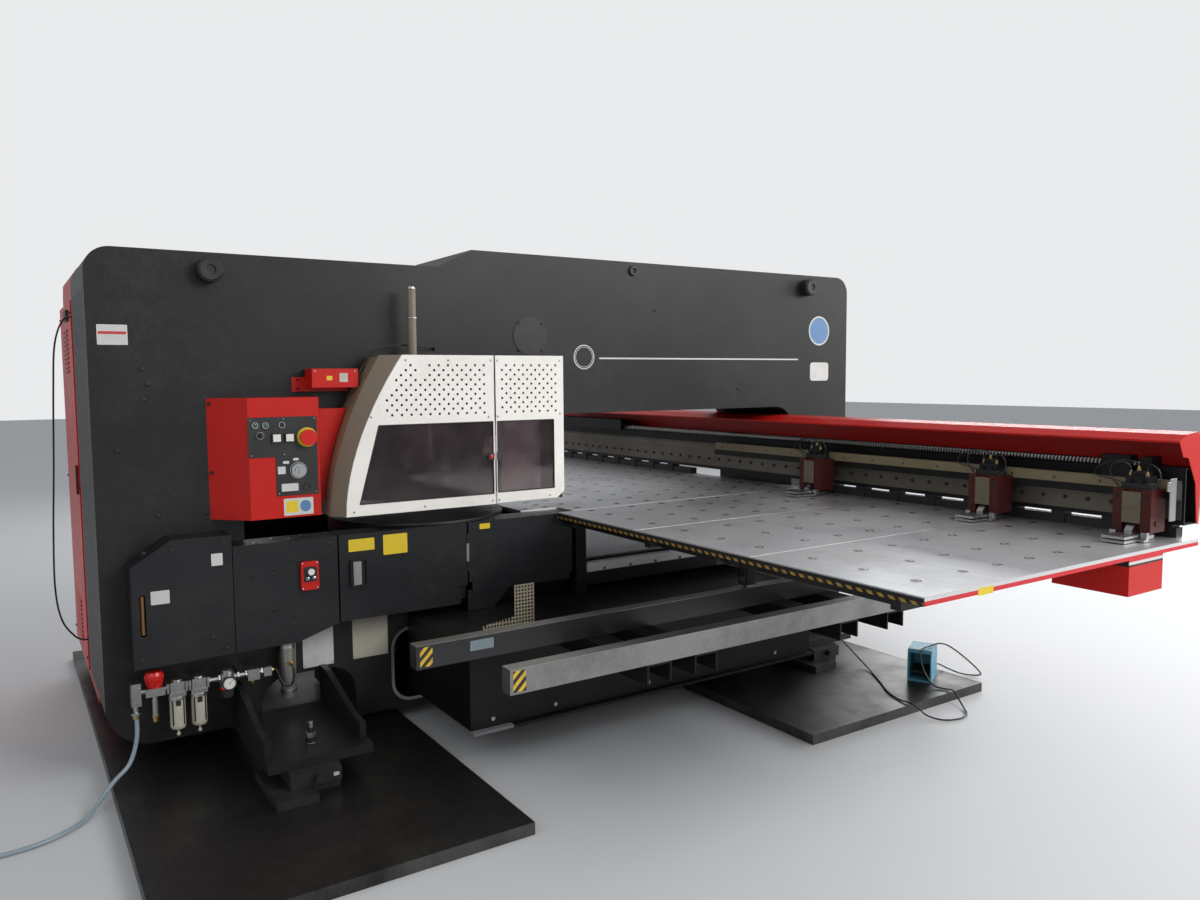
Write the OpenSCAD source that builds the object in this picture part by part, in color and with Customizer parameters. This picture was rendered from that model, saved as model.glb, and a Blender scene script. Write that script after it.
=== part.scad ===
// Turret punch press with a closed bridge frame and a moving sheet table.
// X runs along the carriage, Y along the bridge frame, Z up from the floor, in millimetres.

/* [Bridge frame] */
// Length of the frame along Y
frame_len = 4212; // [4190:2:4230]
// Width of the frame over its side plates
frame_w = 660; // [650:2:664]
// Height of the near shoulder
frame_h = 2108; // [2090:2:2120]
// Extra height of the raised part of the top
frame_rise = 90; // [70:5:100]
// Thickness of each side plate
plate_t = 40; // [30:2:44]
// Thickness of the webs between the plates
web_t = 40; // [30:2:44]
// Radius of the frame's top corners
corner_r = 95; // [80:5:110]
// Radius of the frame's bottom corners
foot_corner_r = 175; // [150:5:180]
// Height of the underside of the upper beam
throat_h = 1407; // [1403:1:1412]
// Height of the top of the lower beam
lower_beam_h = 640; // [636:1:642]
// Width of the far leg
leg_w = 471; // [460:1:474]
// Width of the near column
column_w = 546; // [530:2:550]
// Radius of the throat corners
throat_r = 130; // [110:5:140]
// Diameter of the round lifting bosses
boss_d = 100; // [80:5:120]

/* [Turret] */
// Outside radius of the turret discs
turret_r = 430; // [420:1:432]
// Radius of the ring of stations
track_r = 370; // [360:1:374]
// Number of stations
stations = 16; // [12:2:18]
// Diameter of a station bore
station_d = 60; // [50:1:64]
// Thickness of the upper disc
upper_t = 130; // [120:1:134]
// Thickness of the lower disc
lower_t = 90; // [80:1:94]
// Free height between the two discs
die_gap = 105; // [100:1:108]
// Diameter of the turret spindles
spindle_d = 110; // [90:5:130]
// Diameter of the striker
striker_d = 80; // [60:5:100]

/* [Turret hood] */
// Height of the hood's lower edge
hood_z0 = 1010; // [1005:1:1015]
// Height of the hood's top
hood_z1 = 1695; // [1685:1:1700]
// How far the hood's front stands off the frame plate
hood_depth = 220; // [212:1:226]
// Width of the bevel round the hood's curved edge
bevel_w = 75; // [65:1:80]
// Sheet thickness of the hood
sheet_t = 3; // [2:0.5:4]
// Diameter of the hood's vent holes
vent_d = 12; // [8:1:16]
// Diameter of the lift post behind the hood
post_d = 40; // [30:1:44]

/* [Sheet table] */
// Height of the table's upper face
table_h = 930; // [929:1:932]
// Thickness of the table panels
panel_t = 20; // [14:1:22]
// Reach of the side tables from the machine's centre
table_reach = 2622; // [2560:2:2640]
// Half width of the fixed centre table
centre_half = 470; // [460:1:474]
// Depth of the side table's frame beams
beam_h = 60; // [50:1:64]
// Height of the top of the support rails
rail_h = 600; // [590:1:604]
// Height of a support rail's section
rail_sec_h = 90; // [80:1:94]
// Width of a support rail's section
rail_sec_w = 60; // [50:1:64]
// Diameter of the support rollers
roller_d = 60; // [50:1:64]

/* [Cross beam and carriage] */
// Half length of the cross beam
cross_half = 2600; // [2540:2:2606]
// Depth of the cross beam along Y
cross_w = 100; // [90:1:100]
// Height of the cross beam's section
cross_h = 230; // [220:1:240]
// Diameter of the carriage screw
screw_d = 32; // [28:1:36]
// Length of the carriage bar
bar_len = 2770; // [2740:1:2776]
// Height of the carriage bar's section
bar_h = 76; // [68:1:80]
// Width of a workholder
clamp_w = 148; // [138:1:152]
// Height of a workholder body
clamp_h = 235; // [225:1:240]
// Gap between a workholder's jaws
jaw_gap = 6; // [5:0.5:8]

/* [Covers and cabinet] */
// How far the lower covers stand off the frame plate
cover_depth = 140; // [136:1:144]
// Height of the lower covers' tops
cover_h = 922; // [915:1:926]
// Sheet thickness of the covers
cover_t = 3; // [2:0.5:4]
// Width of the control cabinet along X
cabinet_w = 1025; // [980:1:1040]
// Height of the control cabinet's top
cabinet_h = 2090; // [2050:5:2095]
// Height of the operator box
op_box_h = 498; // [480:1:504]
// Diameter of the stop button's head
stop_d = 66; // [50:1:70]
// Edge of the square push buttons
push_w = 30; // [24:1:32]
// Diameter of the mode selector
selector_d = 58; // [40:1:60]

/* [Feet and air unit] */
// Thickness of the steel floor plates
floor_t = 45; // [40:1:46]
// Half length of the floor plates along X
floor_half = 1630; // [1560:10:1660]
// Length of a levelling foot's bracket along Y
foot_w = 400; // [380:2:410]
// Thickness of the bracket's bottom plate
foot_t = 35; // [30:1:38]
// Diameter of the filter bowls
bowl_d = 58; // [50:1:60]
// Diameter of the air reservoir
tank_d = 65; // [55:1:68]
// Outside diameter of the air hose
hose_d = 16; // [14:1:17]
// Diameter of the foot switch cord
cord_d = 8; // [7:0.5:9]
// Diameter of the cabinet cable
cable_d = 8; // [7:0.5:9]
// Width of the foot switch
pedal_box_w = 116; // [110:1:120]

/* [Hidden] */
$fn = 48;
charcoal = [0.12, 0.12, 0.13];
black = [0.05, 0.05, 0.05];
red = [0.72, 0.07, 0.06];
steel = [0.62, 0.62, 0.62];
white = [0.9, 0.89, 0.87];
khaki = [0.42, 0.38, 0.3];
seat = 0.3;
bore_c = 0.07;
y0 = -frame_len / 2;
y1 = frame_len / 2;
xf = frame_w / 2;
xi = xf - plate_t;
top_z = frame_h + frame_rise;
throat_y0 = y0 + column_w;
throat_y1 = y1 - leg_w;
near_bottom = 130;
mid_bottom = 60;
rise_y0 = -665;
rise_y1 = -488;
foot_y = [-1435, 1300];
arch_y = [-1308, 1300];
arch_half = 205;
arch_z = 310;
// turret and press line
punch_y = -290;
turret_y = punch_y - track_r;
lower_z0 = table_h - lower_t;
upper_z0 = table_h + die_gap;
upper_z1 = upper_z0 + upper_t;
head_h = 30;
// hood
hx = xf + hood_depth;
bx = hx - bevel_w;
hood_split = -487;
hood_right = -120;
post_x = xf + 100;
post_y = -835;
post_top = 1985;
slider_z = 1600;
steps = 12;
// table
side_in = centre_half + 20;
table_y0 = -122;
table_y1 = 1592;
frame_z1 = table_h - panel_t;
frame_z0 = frame_z1 - beam_h;
skirt_z0 = frame_z1 - 8;
rail_x = [1150, 1590];
rail_y0 = [-1150, -990];
roller_y = 520;
roller_z = rail_h + roller_d / 2 + seat;
arm_y = [-410, -180, 640, 950];
guide_x0 = 400;
guide_w = 45;
guide_z0 = 600;
ledge_z0 = 540;
saddle_y = [1360, 1560];
// cross beam
beam_y0 = 1520;
beam_z0 = table_h + 55;
cross_z1 = beam_z0 + cross_h;
strip_t = 6;
rail_d = 14;
screw_y = 1478;
screw_z = beam_z0 + 240;
screw_x0 = -1230;
screw_x1 = cross_half - 110;
motor_z0 = screw_z - 20;
bar_x1 = cross_half;
bar_x0 = bar_x1 - bar_len;
bar_y0 = 1452;
bar_y1 = 1492;
bar_z0 = beam_z0 + 106;
guide_z = bar_z0 + 22;
nut_x = bar_x1 - 240;
clamp_x = [bar_x1 - 1842, bar_x1 - 772, bar_x1 - 114];
cheek_h = 168;
leg_x = 705;
leg_step = 224;
base_h = 40;
clamp_y0 = 1340;
jaw_z = table_h + 4;
jaw_t = 10;
clamp_z0 = jaw_z + jaw_t + 21;
jaw_tip = 1205;
jaw_pin = [1385, clamp_z0 + 35];
// covers
cx = xf + cover_depth;
door_x = cx - 27;
hinge_y = -600;
// operator box
op_z0 = 1020;
op_z1 = op_z0 + op_box_h;
panel_x = cx + cover_t;
stop_at = [-1327, 1352];
push_a_at = [-1451, 1353];
push_b_at = [-1399, 1353];
selector_at = [-1367, 1216];
key_at = [-1515, 1365];
station_at = [-1333, 785];
// cabinet
cab_x1 = -xf - 15;
cab_x0 = cab_x1 - cabinet_w;
cab_y0 = y0 + 30;
cab_y1 = y0 + 455;
cab_z0 = 120;
pin_d = 8;
knuckle_d = 18;
cab_hinge = [cab_x0 + 23, cab_y0 - 8];
handle_at = [cab_x1 - 295, 1176];
// feet
foot_z0 = 135;
foot_reach = 600;
// air unit
air_x = xf + 100;
air_z = 378;
knob_y = -1940;
reg_y = -1670;
bowl_y = [-1860, -1780];
tank_y = -1415;
// foot switch
sw_at = [1403, 1500];
sw_turn = 28;
sw_d = 185;
sw_h = 165;
function at_sw(x, y, z) = [sw_at[0] + x * cos(sw_turn) - y * sin(sw_turn),
  sw_at[1] + x * sin(sw_turn) + y * cos(sw_turn), floor_t + z];
// cord routes
hose_path = [[430, -2008, 304], [430, -2010, 200], [445, -2040, 110], [490, -2100, 70],
  [560, -2160, 30], [630, -2205, 11], [690, -2260, 10], [735, -2330, 10],
  [757, -2410, 10], [760, -2500, 10], [760, -2602, 10]];
coil_at = [842, -2640];
coil_r = [66, 99];
coil_h = 33;
coil_mid = 82;
switch_path = [at_sw(30, sw_d / 2 - 3, 35), at_sw(30, sw_d / 2 + 36, 35),
  [1372, 1675, 72], [1392, 1725, 45], [1425, 1785, 16], [1465, 1835, 7],
  [1505, 1845, 20], [1515, 1800, 60], [1498, 1740, 115], [1478, 1680, 165],
  [1460, 1620, 205], [1452, 1560, 221], [1448, 1500, 217], [1453, 1445, 217],
  [1466, 1400, 200], [1488, 1384, 150], [1515, 1388, 96], [1550, 1404, 56],
  [1595, 1424, 51], [1642, 1428, 52], [1695, 1402, 22], [1745, 1366, 7],
  [1793, 1315, 6], [1806, 1240, 6], [1772, 1165, 6], [1712, 1130, 16],
  [1668, 1120, 42], [1625, 1116, 53], [1570, 1118, 50], [1470, 1158, 50],
  [1340, 1250, 50], [1200, 1345, 52], [1105, 1385, 72], [1052, 1362, 125],
  [1012, 1292, 212], [982, 1222, 308], [958, 1165, 385], [950, 1117, 400]];
cable_path = [[-470, -2074, 1880], [-470, -2130, 1870], [-470, -2170, 1760],
  [-470, -2185, 1550], [-470, -2200, 1200], [-470, -2215, 900], [-470, -2220, 650],
  [-470, -2200, 500], [-470, -2150, 415], [-470, -2110, 395], [-470, -2074, 394]];

// ---- general helpers
function sub(a, b) = [a[0] - b[0], a[1] - b[1], a[2] - b[2]];
function unit(a) = a / norm(a);
function mix(a, b, t) = a * (1 - t) + b * t;
function crm(a, b, c, d, t) = 0.5 * ((2 * b) + (c - a) * t
  + (2 * a - 5 * b + 4 * c - d) * t * t + (3 * b - a - 3 * c + d) * t * t * t);
function smooth(p, k) = [for (i = [0 : len(p) - 2]) for (j = [0 : k - 1])
  crm(p[max(i - 1, 0)], p[i], p[i + 1], p[min(i + 2, len(p) - 1)], j / k), p[len(p) - 1]];
function tangent(p, i) = unit(sub(p[min(i + 1, len(p) - 1)], p[max(i - 1, 0)]));
function side_of(p, i) = unit(cross(tangent(p, i), abs(tangent(p, i)[2]) > 0.9
  ? [1, 0, 0] : [0, 0, 1]));
function carry(n, t) = unit(n - t * (n * t));
function frames(p, i, n) = i >= len(p) ? [] :
  concat([carry(n, tangent(p, i))], frames(p, i + 1, carry(n, tangent(p, i))));

// Tube with round-ended rings swept along a route
module tube(route, d, k, sides) {
  p = smooth(route, k);
  ns = frames(p, 0, side_of(p, 0));
  n = len(p);
  pts = [for (i = [0 : n - 1]) for (j = [0 : sides - 1])
    p[i] + d / 2 * (cos(360 * j / sides) * ns[i]
      + sin(360 * j / sides) * cross(tangent(p, i), ns[i]))];
  walls = [for (i = [0 : n - 2]) for (j = [0 : sides - 1])
    [i * sides + j, (i + 1) * sides + j, (i + 1) * sides + (j + 1) % sides,
      i * sides + (j + 1) % sides]];
  first = [for (j = [0 : sides - 1]) j];
  last = [for (j = [sides - 1 : -1 : 0]) (n - 1) * sides + j];
  polyhedron(points = pts, faces = concat([first], [last], walls));
}

// Sheet between two lists of points, thickened by a vector
module ruled(p, q, v) {
  n = len(p);
  pts = [for (i = [0 : n - 1]) each [p[i], q[i], q[i] + v, p[i] + v]];
  walls = [for (i = [0 : n - 2]) for (j = [0 : 3]) let (k = (j + 1) % 4)
    each [[4 * i + j, 4 * i + k, 4 * i + 4 + k], [4 * i + j, 4 * i + 4 + k, 4 * i + 4 + j]]];
  polyhedron(points = pts, faces = concat([[3, 2, 1, 0]],
    [[4 * n - 4, 4 * n - 3, 4 * n - 2, 4 * n - 1]], walls));
}

// Box between two values on each axis
module blk(x, y, z)
  translate([x[0], y[0], z[0]]) cube([x[1] - x[0], y[1] - y[0], z[1] - z[0]]);

// Profile drawn in (Y, Z), extruded along X
module yz(x0, t)
  translate([x0, 0, 0]) rotate([90, 0, 90]) linear_extrude(height = t) children();

// Profile drawn in (X, Z), extruded along Y
module xz(ya, t)
  translate([0, ya + t, 0]) rotate([90, 0, 0]) linear_extrude(height = t) children();

// Profile drawn in (X, Y), extruded along Z
module xy(z0, t)
  translate([0, 0, z0]) linear_extrude(height = t) children();

module rod_x(x, y, z, d)
  translate([x[0], y, z]) rotate([0, 90, 0]) cylinder(d = d, h = x[1] - x[0]);

module rod_y(x, y, z, d)
  translate([x, y[1], z]) rotate([90, 0, 0]) cylinder(d = d, h = y[1] - y[0]);

module rod_z(x, y, z, d)
  translate([x, y, z[0]]) cylinder(d = d, h = z[1] - z[0]);

module both_sides() {
  children();
  mirror([1, 0, 0]) children();
}

module round_rect(a, b, r) {
  translate([a[0] + r, b[0]]) square([a[1] - a[0] - 2 * r, b[1] - b[0]]);
  translate([a[0], b[0] + r]) square([a[1] - a[0], b[1] - b[0] - 2 * r]);
  for (u = [a[0] + r, a[1] - r])
    for (w = [b[0] + r, b[1] - r])
      translate([u, w]) circle(r = r);
}

// Piece that rounds an outer corner when it is taken away
module corner_cut(u, w, su, sw, r)
  difference() {
    translate([u + (su > 0 ? -r : -5), w + (sw > 0 ? -r : -5)]) square(r + 5);
    translate([u - su * r, w - sw * r]) circle(r = r);
  }

// Vertical hinge: pin with two end lugs, and the sleeve that turns between them
module hinge_pin(at, z, d) {
  h = z[1] - z[0];
  rod_z(at[0], at[1], z, pin_d);
  rod_z(at[0], at[1], [z[0], z[0] + h / 4], d);
  rod_z(at[0], at[1], [z[1] - h / 4, z[1]], d);
}

module hinge_sleeve(at, z, d) {
  h = z[1] - z[0];
  difference() {
    rod_z(at[0], at[1], [z[0] + h / 4 + seat, z[1] - h / 4 - seat], d);
    rod_z(at[0], at[1], z, pin_d + 2 * bore_c);
  }
}

module lug_notch(at, z, d) {
  h = z[1] - z[0];
  rod_z(at[0], at[1], [z[0] - 2, z[0] + h / 4 + seat], d + 2);
  rod_z(at[0], at[1], [z[1] - h / 4 - seat, z[1] + 2], d + 2);
}

module sleeve_notch(at, z, d) {
  h = z[1] - z[0];
  rod_z(at[0], at[1], [z[0] + h / 4, z[1] - h / 4], d + 2);
}

// ---- bridge frame
module frame_outline(i)
  difference() {
    polygon([[y0 + i, near_bottom + i], [y0 + i, frame_h - i],
      [rise_y0 + i, frame_h - i], [rise_y1 + i, top_z - i], [y1 - i, top_z - i],
      [y1 - i, near_bottom + i], [arch_y[1] + i, near_bottom + i],
      [arch_y[1] + i, mid_bottom + i], [arch_y[0] - i, mid_bottom + i],
      [arch_y[0] - i, near_bottom + i]]);
    corner_cut(y0 + i, frame_h - i, -1, 1, corner_r - i);
    corner_cut(y1 - i, top_z - i, 1, 1, corner_r - i);
    corner_cut(y0 + i, near_bottom + i, -1, -1, foot_corner_r - i);
    corner_cut(y1 - i, near_bottom + i, 1, -1, foot_corner_r - i);
    round_rect([throat_y0 - i, throat_y1 + i], [lower_beam_h - i, throat_h + i],
      throat_r + i);
    for (a = arch_y)
      round_rect([a - arch_half - i, a + arch_half + i], [-400, arch_z + i], 120 + i);
  }

module frame_plates()
  color(charcoal)
    for (x = [-xf, xi])
      yz(x, plate_t) difference() {
        frame_outline(0);
        round_rect([-919, -665], [mid_bottom + web_t, 424], 80);
      }

module frame_webs()
  color(charcoal)
    difference() {
      yz(-xi, 2 * xi) difference() {
        frame_outline(0);
        frame_outline(web_t);
      }
      blk([-xi - 1, xi + 1], [y0 - 1, y0 + 6], [300, 1950]);
    }

module boss(y, z)
  translate([xf, y, z]) rotate([0, 90, 0]) rotate_extrude()
    polygon([[0, 0], [boss_d / 2, 0], [boss_d / 2, 54], [boss_d / 2 - 5, 60],
      [boss_d / 2 - 14, 60], [boss_d / 2 - 16, 55], [0, 55]]);

module frame_fittings()
  color(charcoal) {
    blk([-xi, xi], [y0, y0 + 6], [300, 1950]);
    boss(-1661, frame_h - 75);
    both_sides() {
      boss(1735, top_z - 76);
      rod_x([xf, xf + 3], -176, 1798, 190);
    }
  }

// ---- control cabinet
module cabinet_outline(i)
  polygon([[cab_x0 + i, cab_z0 + i], [cab_x1 - i, cab_z0 + i], [cab_x1 - i, cabinet_h - i],
    [cab_x0 + 60 + i / 2, cabinet_h - i], [cab_x0 + i, cabinet_h - 60 - i / 2]]);

module cabinet()
  color(red) {
    difference() {
      xz(cab_y0, cab_y1 - cab_y0) cabinet_outline(0);
      xz(cab_y0 + 4, cab_y1 - cab_y0 - 8) cabinet_outline(4);
      blk([cab_x0 + 40, cab_x1 - 255], [cab_y0 - 5, cab_y0 + 10], [220, 1960]);
      for (z = [400, 1700])
        sleeve_notch(cab_hinge, [z, z + 80], knuckle_d);
    }
    for (z = [400, 1700])
      hinge_pin(cab_hinge, [z, z + 80], knuckle_d);
    for (z = [400, 1500])
      blk([cab_x1, -xf], [cab_y0 + 150, cab_y0 + 350], [z, z + 80]);
    for (x = [cab_x0 + 40, cab_x1 - 120])
      for (y = [cab_y0 + 40, cab_y1 - 120])
        blk([x, x + 80], [y, y + 80], [floor_t, cab_z0]);
    blk([-478, -462], [cab_y0 - 1, cab_y0], [386, 402]);
    blk([-478, -462], [cab_y0 - 1, cab_y0], [1872, 1888]);
  }

module cabinet_door()
  color(red) {
    difference() {
      blk([cab_x0 + 29, cab_x1 - 249], [cab_y0 - 19, cab_y0 - seat], [214, 1966]);
      rod_y(handle_at[0], [cab_y0 - 30, cab_y0 + 5], handle_at[1], 14 + 2 * bore_c);
      for (z = [400, 1700])
        lug_notch(cab_hinge, [z, z + 80], knuckle_d);
      for (z = [400, 1700])
        rod_z(cab_hinge[0], cab_hinge[1], [z + 20, z + 60], pin_d + 1);
    }
    for (z = [400, 1700])
      hinge_sleeve(cab_hinge, [z, z + 80], knuckle_d);
  }

module cabinet_handle()
  color(black) {
    rod_y(handle_at[0], [cab_y0 - 20, cab_y0 - 2], handle_at[1], 14);
    rod_y(handle_at[0], [cab_y0 - 29, cab_y0 - 19 - seat], handle_at[1], 36);
    blk([handle_at[0] - 12, handle_at[0] + 12], [cab_y0 - 29, cab_y0 - 19 - seat],
      [handle_at[1] - 120, handle_at[1]]);
  }

// ---- turret hood
function hood_t(i) = i / steps;
function hood_z(i) = hood_z0 + (hood_z1 - hood_z0) * hood_t(i);
function edge_in(i) = -1193 + 263 * pow(hood_t(i), 1.8);
function edge_out(i) = -1238 + 231 * pow(hood_t(i), 1.8);

module hood_side()
  color(khaki) {
    ruled([for (i = [0 : steps]) [bx - 3, edge_out(i), hood_z(i) - (i == steps ? 5 : 0)]],
      [for (i = [0 : steps]) [xf, edge_out(i), hood_z(i) - (i == steps ? 5 : 0)]],
      [0, sheet_t, 0]);
    difference() {
      blk([xf, hx - 12], [hood_right - 6, hood_right - 6 + sheet_t],
        [hood_z0, hood_z1 - 5]);
      for (z = [1080, 1540])
        sleeve_notch([hx - 8, hood_right - 7], [z, z + 60], 12);
    }
    for (z = [1080, 1540])
      hinge_pin([hx - 8, hood_right - 7], [z, z + 60], 12);
  }

module vents(cols, y_at, y_min)
  for (r = [0 : 10])
    for (c = [0 : cols])
      let (yc = y_at - c * 44 - (r % 2) * 22, zc = hood_z1 - 45 - r * 21.5,
        lim = y_min == 0 ? -1193 + 263 * pow((zc - hood_z0) / (hood_z1 - hood_z0), 1.8) + 38
          : y_min)
        if (yc > lim)
          translate([yc, zc]) circle(d = vent_d, $fn = 8);

module hood_cover()
  color(white) {
    yz(hx - sheet_t, sheet_t) difference() {
      polygon(concat([for (i = [0 : steps]) [edge_in(i), hood_z(i)]],
        [[hood_split - 4, hood_z1], [hood_split - 4, hood_z0]]));
      polygon([[-1133, hood_z0 + 50], [-500, hood_z0 + 50],
        [-500, hood_z1 - 303], [-1042, hood_z1 - 303]]);
      vents(10, -541, 0);
    }
    xy(hood_z1 - sheet_t, sheet_t) difference() {
      polygon([[xf + 10, -1004], [bx, -1004], [hx - 2, -930], [hx - 2, hood_split - 4],
        [xf + 10, hood_split - 4]]);
      translate([post_x, post_y]) circle(d = post_d + 4);
    }
    difference() {
      union() {
        blk([post_x, hx - 1], [post_y - 20, post_y + 20], [slider_z, slider_z + 60]);
        rod_z(post_x, post_y, [slider_z, slider_z + 60], post_d + 24);
      }
      rod_z(post_x, post_y, [slider_z - 10, slider_z + 70], post_d + 2 * bore_c);
    }
    ruled([for (i = [0 : steps]) [hx - 1, edge_in(i) + 0.5, hood_z(i) - 0.5]],
      [for (i = [0 : steps]) [bx, edge_out(i), hood_z(i) - 0.5]], [-2, 2.4, 0]);
  }

module hood_window()
  color([0.35, 0.25, 0.3])
    yz(hx - sheet_t - 5, 5) polygon([[-1148, hood_z0 + 38], [-496, hood_z0 + 38],
      [-496, hood_z1 - 291], [-1052, hood_z1 - 291]]);

module hood_door()
  color(white) {
    difference() {
      yz(hx - sheet_t, sheet_t) difference() {
        polygon([[hood_split + 4, hood_z0 + 3], [hood_right - 38, hood_z0 + 5],
          [hood_right, hood_z0 + 35], [hood_right, hood_z1], [hood_split + 4, hood_z1]]);
        polygon([[-476, hood_z0 + 54], [-176, hood_z0 + 54], [-176, hood_z1 - 303],
          [-476, hood_z1 - 303]]);
        vents(6, -163, -470);
      }
      for (z = [1080, 1540])
        lug_notch([hx - 8, hood_right - 7], [z, z + 60], 12);
      for (z = [1080, 1540])
        rod_z(hx - 8, hood_right - 7, [z + 15, z + 45], pin_d + 1);
    }
    for (z = [1080, 1540])
      hinge_sleeve([hx - 8, hood_right - 7], [z, z + 60], 12);
  }

module hood_door_window()
  color([0.35, 0.25, 0.3])
    yz(hx - sheet_t - 5, 5) polygon([[-481, hood_z0 + 42], [-164, hood_z0 + 42],
      [-164, hood_z1 - 291], [-481, hood_z1 - 291]]);

module guide_post()
  color(khaki) {
    rod_z(post_x, post_y, [1440, post_top], post_d);
    rod_z(post_x, post_y, [post_top, post_top + 6], post_d + 4);
    blk([xf, post_x + 30], [post_y - 32, post_y + 32], [1430, 1500]);
  }

// ---- operator boxes
module op_plan(i)
  polygon([[xf - (i > 0 ? 5 : 0), -1690 + 1.4 * i], [xf + i / 2, -1690 + 1.4 * i],
    [cx - i, -1560 + i / 2], [cx - i, -1275 - i / 2], [cx - 70, -1252 - i],
    [xf - (i > 0 ? 5 : 0), -1252 - i]]);

module op_bores(x0, x1) {
  rod_x([x0, x1], stop_at[0], stop_at[1], 22 + 2 * bore_c);
  rod_x([x0, x1], push_a_at[0], push_a_at[1], 16 + 2 * bore_c);
  rod_x([x0, x1], push_b_at[0], push_b_at[1], 16 + 2 * bore_c);
  rod_x([x0, x1], selector_at[0], selector_at[1], 22 + 2 * bore_c);
  rod_x([x0, x1], key_at[0], key_at[1], 10 + 2 * bore_c);
}

module operator_boxes()
  color(red) {
    difference() {
      xy(op_z0, op_box_h) op_plan(0);
      xy(op_z0 + cover_t, op_box_h - 2 * cover_t) op_plan(cover_t);
      op_bores(cx - 10, cx + 10);
    }
    yz(xf, 70) polygon(concat([[-1252, hood_z(8)], [-1252, hood_z(1)]],
      [for (i = [1 : 8]) [edge_out(i) - 4, hood_z(i)]]));
    blk([xf, xf + 4], [-1345, -1095], [1540, 1602]);
    difference() {
      blk([xf + 4, xf + 110], [-1288, -1090], [1557, 1637]);
      blk([xf + 7, xf + 107], [-1285, -1093], [1550, 1634]);
    }
    difference() {
      yz(cx, 15) round_rect([-1372, -1298], [707, 828], 8);
      rod_x([cx + 3, cx + 20], station_at[0], station_at[1], 12 + 2 * bore_c);
    }
  }

module control_panel()
  color(black)
    difference() {
      yz(cx, cover_t) polygon([[-1562, 1439], [-1562, 1275], [-1455, 1275],
        [-1455, 1112], [-1284, 1112], [-1284, 1439]]);
      op_bores(cx - 10, cx + 10);
    }

module stop_button()
  color(red) {
    rod_x([cx - 8, panel_x + 14], stop_at[0], stop_at[1], 22);
    rod_x([panel_x + 12, panel_x + 22], stop_at[0], stop_at[1], stop_d - 14);
    rod_x([panel_x + 20, panel_x + 36], stop_at[0], stop_at[1], stop_d);
  }

module push_button(at)
  color(white) {
    rod_x([cx - 8, panel_x + 8], at[0], at[1], 16);
    blk([panel_x + 7, panel_x + 14], [at[0] - push_w / 2, at[0] + push_w / 2],
      [at[1] - push_w / 2, at[1] + push_w / 2]);
  }

module push_button_a() push_button(push_a_at);

module push_button_b() push_button(push_b_at);

module mode_selector()
  color(steel) {
    rod_x([cx - 8, panel_x + 2], selector_at[0], selector_at[1], 22);
    rod_x([panel_x + seat, panel_x + 12], selector_at[0], selector_at[1], selector_d);
    rod_x([panel_x + 12, panel_x + 26], selector_at[0], selector_at[1], 34);
    blk([panel_x + 26, panel_x + 34], [selector_at[0] - 4, selector_at[0] + 4],
      [selector_at[1] - 15, selector_at[1] + 15]);
  }

module key_switch()
  color(black) {
    rod_x([cx - 8, panel_x + 2], key_at[0], key_at[1], 10);
    rod_x([panel_x + seat, panel_x + 16], key_at[0], key_at[1], 22);
    blk([panel_x + 16, panel_x + 24], [key_at[0] - 3, key_at[0] + 3],
      [key_at[1] - 9, key_at[1] + 9]);
  }

module station_button()
  color(white) {
    rod_x([cx + 7, cx + 22], station_at[0], station_at[1], 12);
    rod_x([cx + 21, cx + 30], station_at[0], station_at[1], 27);
  }

// ---- lower covers
module near_outline()
  polygon([[-2010, 478], [-2010, 878], [-1864, cover_h + 48], [-1640, cover_h + 48],
    [-1640, 484]]);

module mid_outline()
  polygon([[-1637, 484], [-1385, 487], [-1241, 534], [-1212, 539], [-1212, cover_h],
    [-1637, cover_h]]);

module far_outline()
  polygon([[-595, 640], [-30, 622], [-30, cover_h], [-595, cover_h]]);

module shell(x1)
  difference() {
    yz(xf, x1 - xf) children();
    yz(xf - 1, x1 - xf + 1 - cover_t) offset(delta = -cover_t) children();
  }

// Covers behind the turret, one above and one below the slot for the sheet
module rear_covers()
  mirror([1, 0, 0]) {
    slot = [lower_z0 + 65, hood_z0];
    difference() {
      shell(cx - 10) translate([throat_y0 - 60, slot[0] - 305])
        square([-60 - (throat_y0 - 60), 305]);
      rod_z(0, turret_y, [lower_z0 - 20, 1000], 2 * turret_r + 16);
    }
    shell(cx - 10) translate([-1250, slot[1]])
      square([hood_right + 1250, throat_h + 33 - slot[1]]);
  }

module lower_covers()
  color(charcoal) {
    difference() {
      shell(cx) near_outline();
      yz(cx - 10, 20) round_rect([-1983, -1962], [604, 768], 9);
    }
    shell(cx) mid_outline();
    rear_covers();
    blk([cx - 24, cx - 3], [hinge_y + 22, -43], [588, 642]);
    yz(cx - 12, 4) polygon([[hinge_y, 600], [hinge_y, 503], [-468, 503], [-368, 600]]);
    difference() {
      union() {
        shell(door_x) translate([-1205, 560]) square([601, cover_h - 560]);
        difference() {
          shell(cx) far_outline();
          sleeve_notch([cx - 2, hinge_y], [695, 869], 12);
        }
        hinge_pin([cx - 2, hinge_y], [695, 869], 12);
      }
      rod_z(0, turret_y, [lower_z0 - 20, 1000], 2 * turret_r + 16);
      blk([door_x - 6, door_x + 2], [-1190, -640], [600, cover_h - 20]);
    }
  }

module door_outline()
  polygon([[-1205, 545], [-640, 545], [-640, 628], [-604, 628], [-604, cover_h],
    [-1205, cover_h]]);

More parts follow.
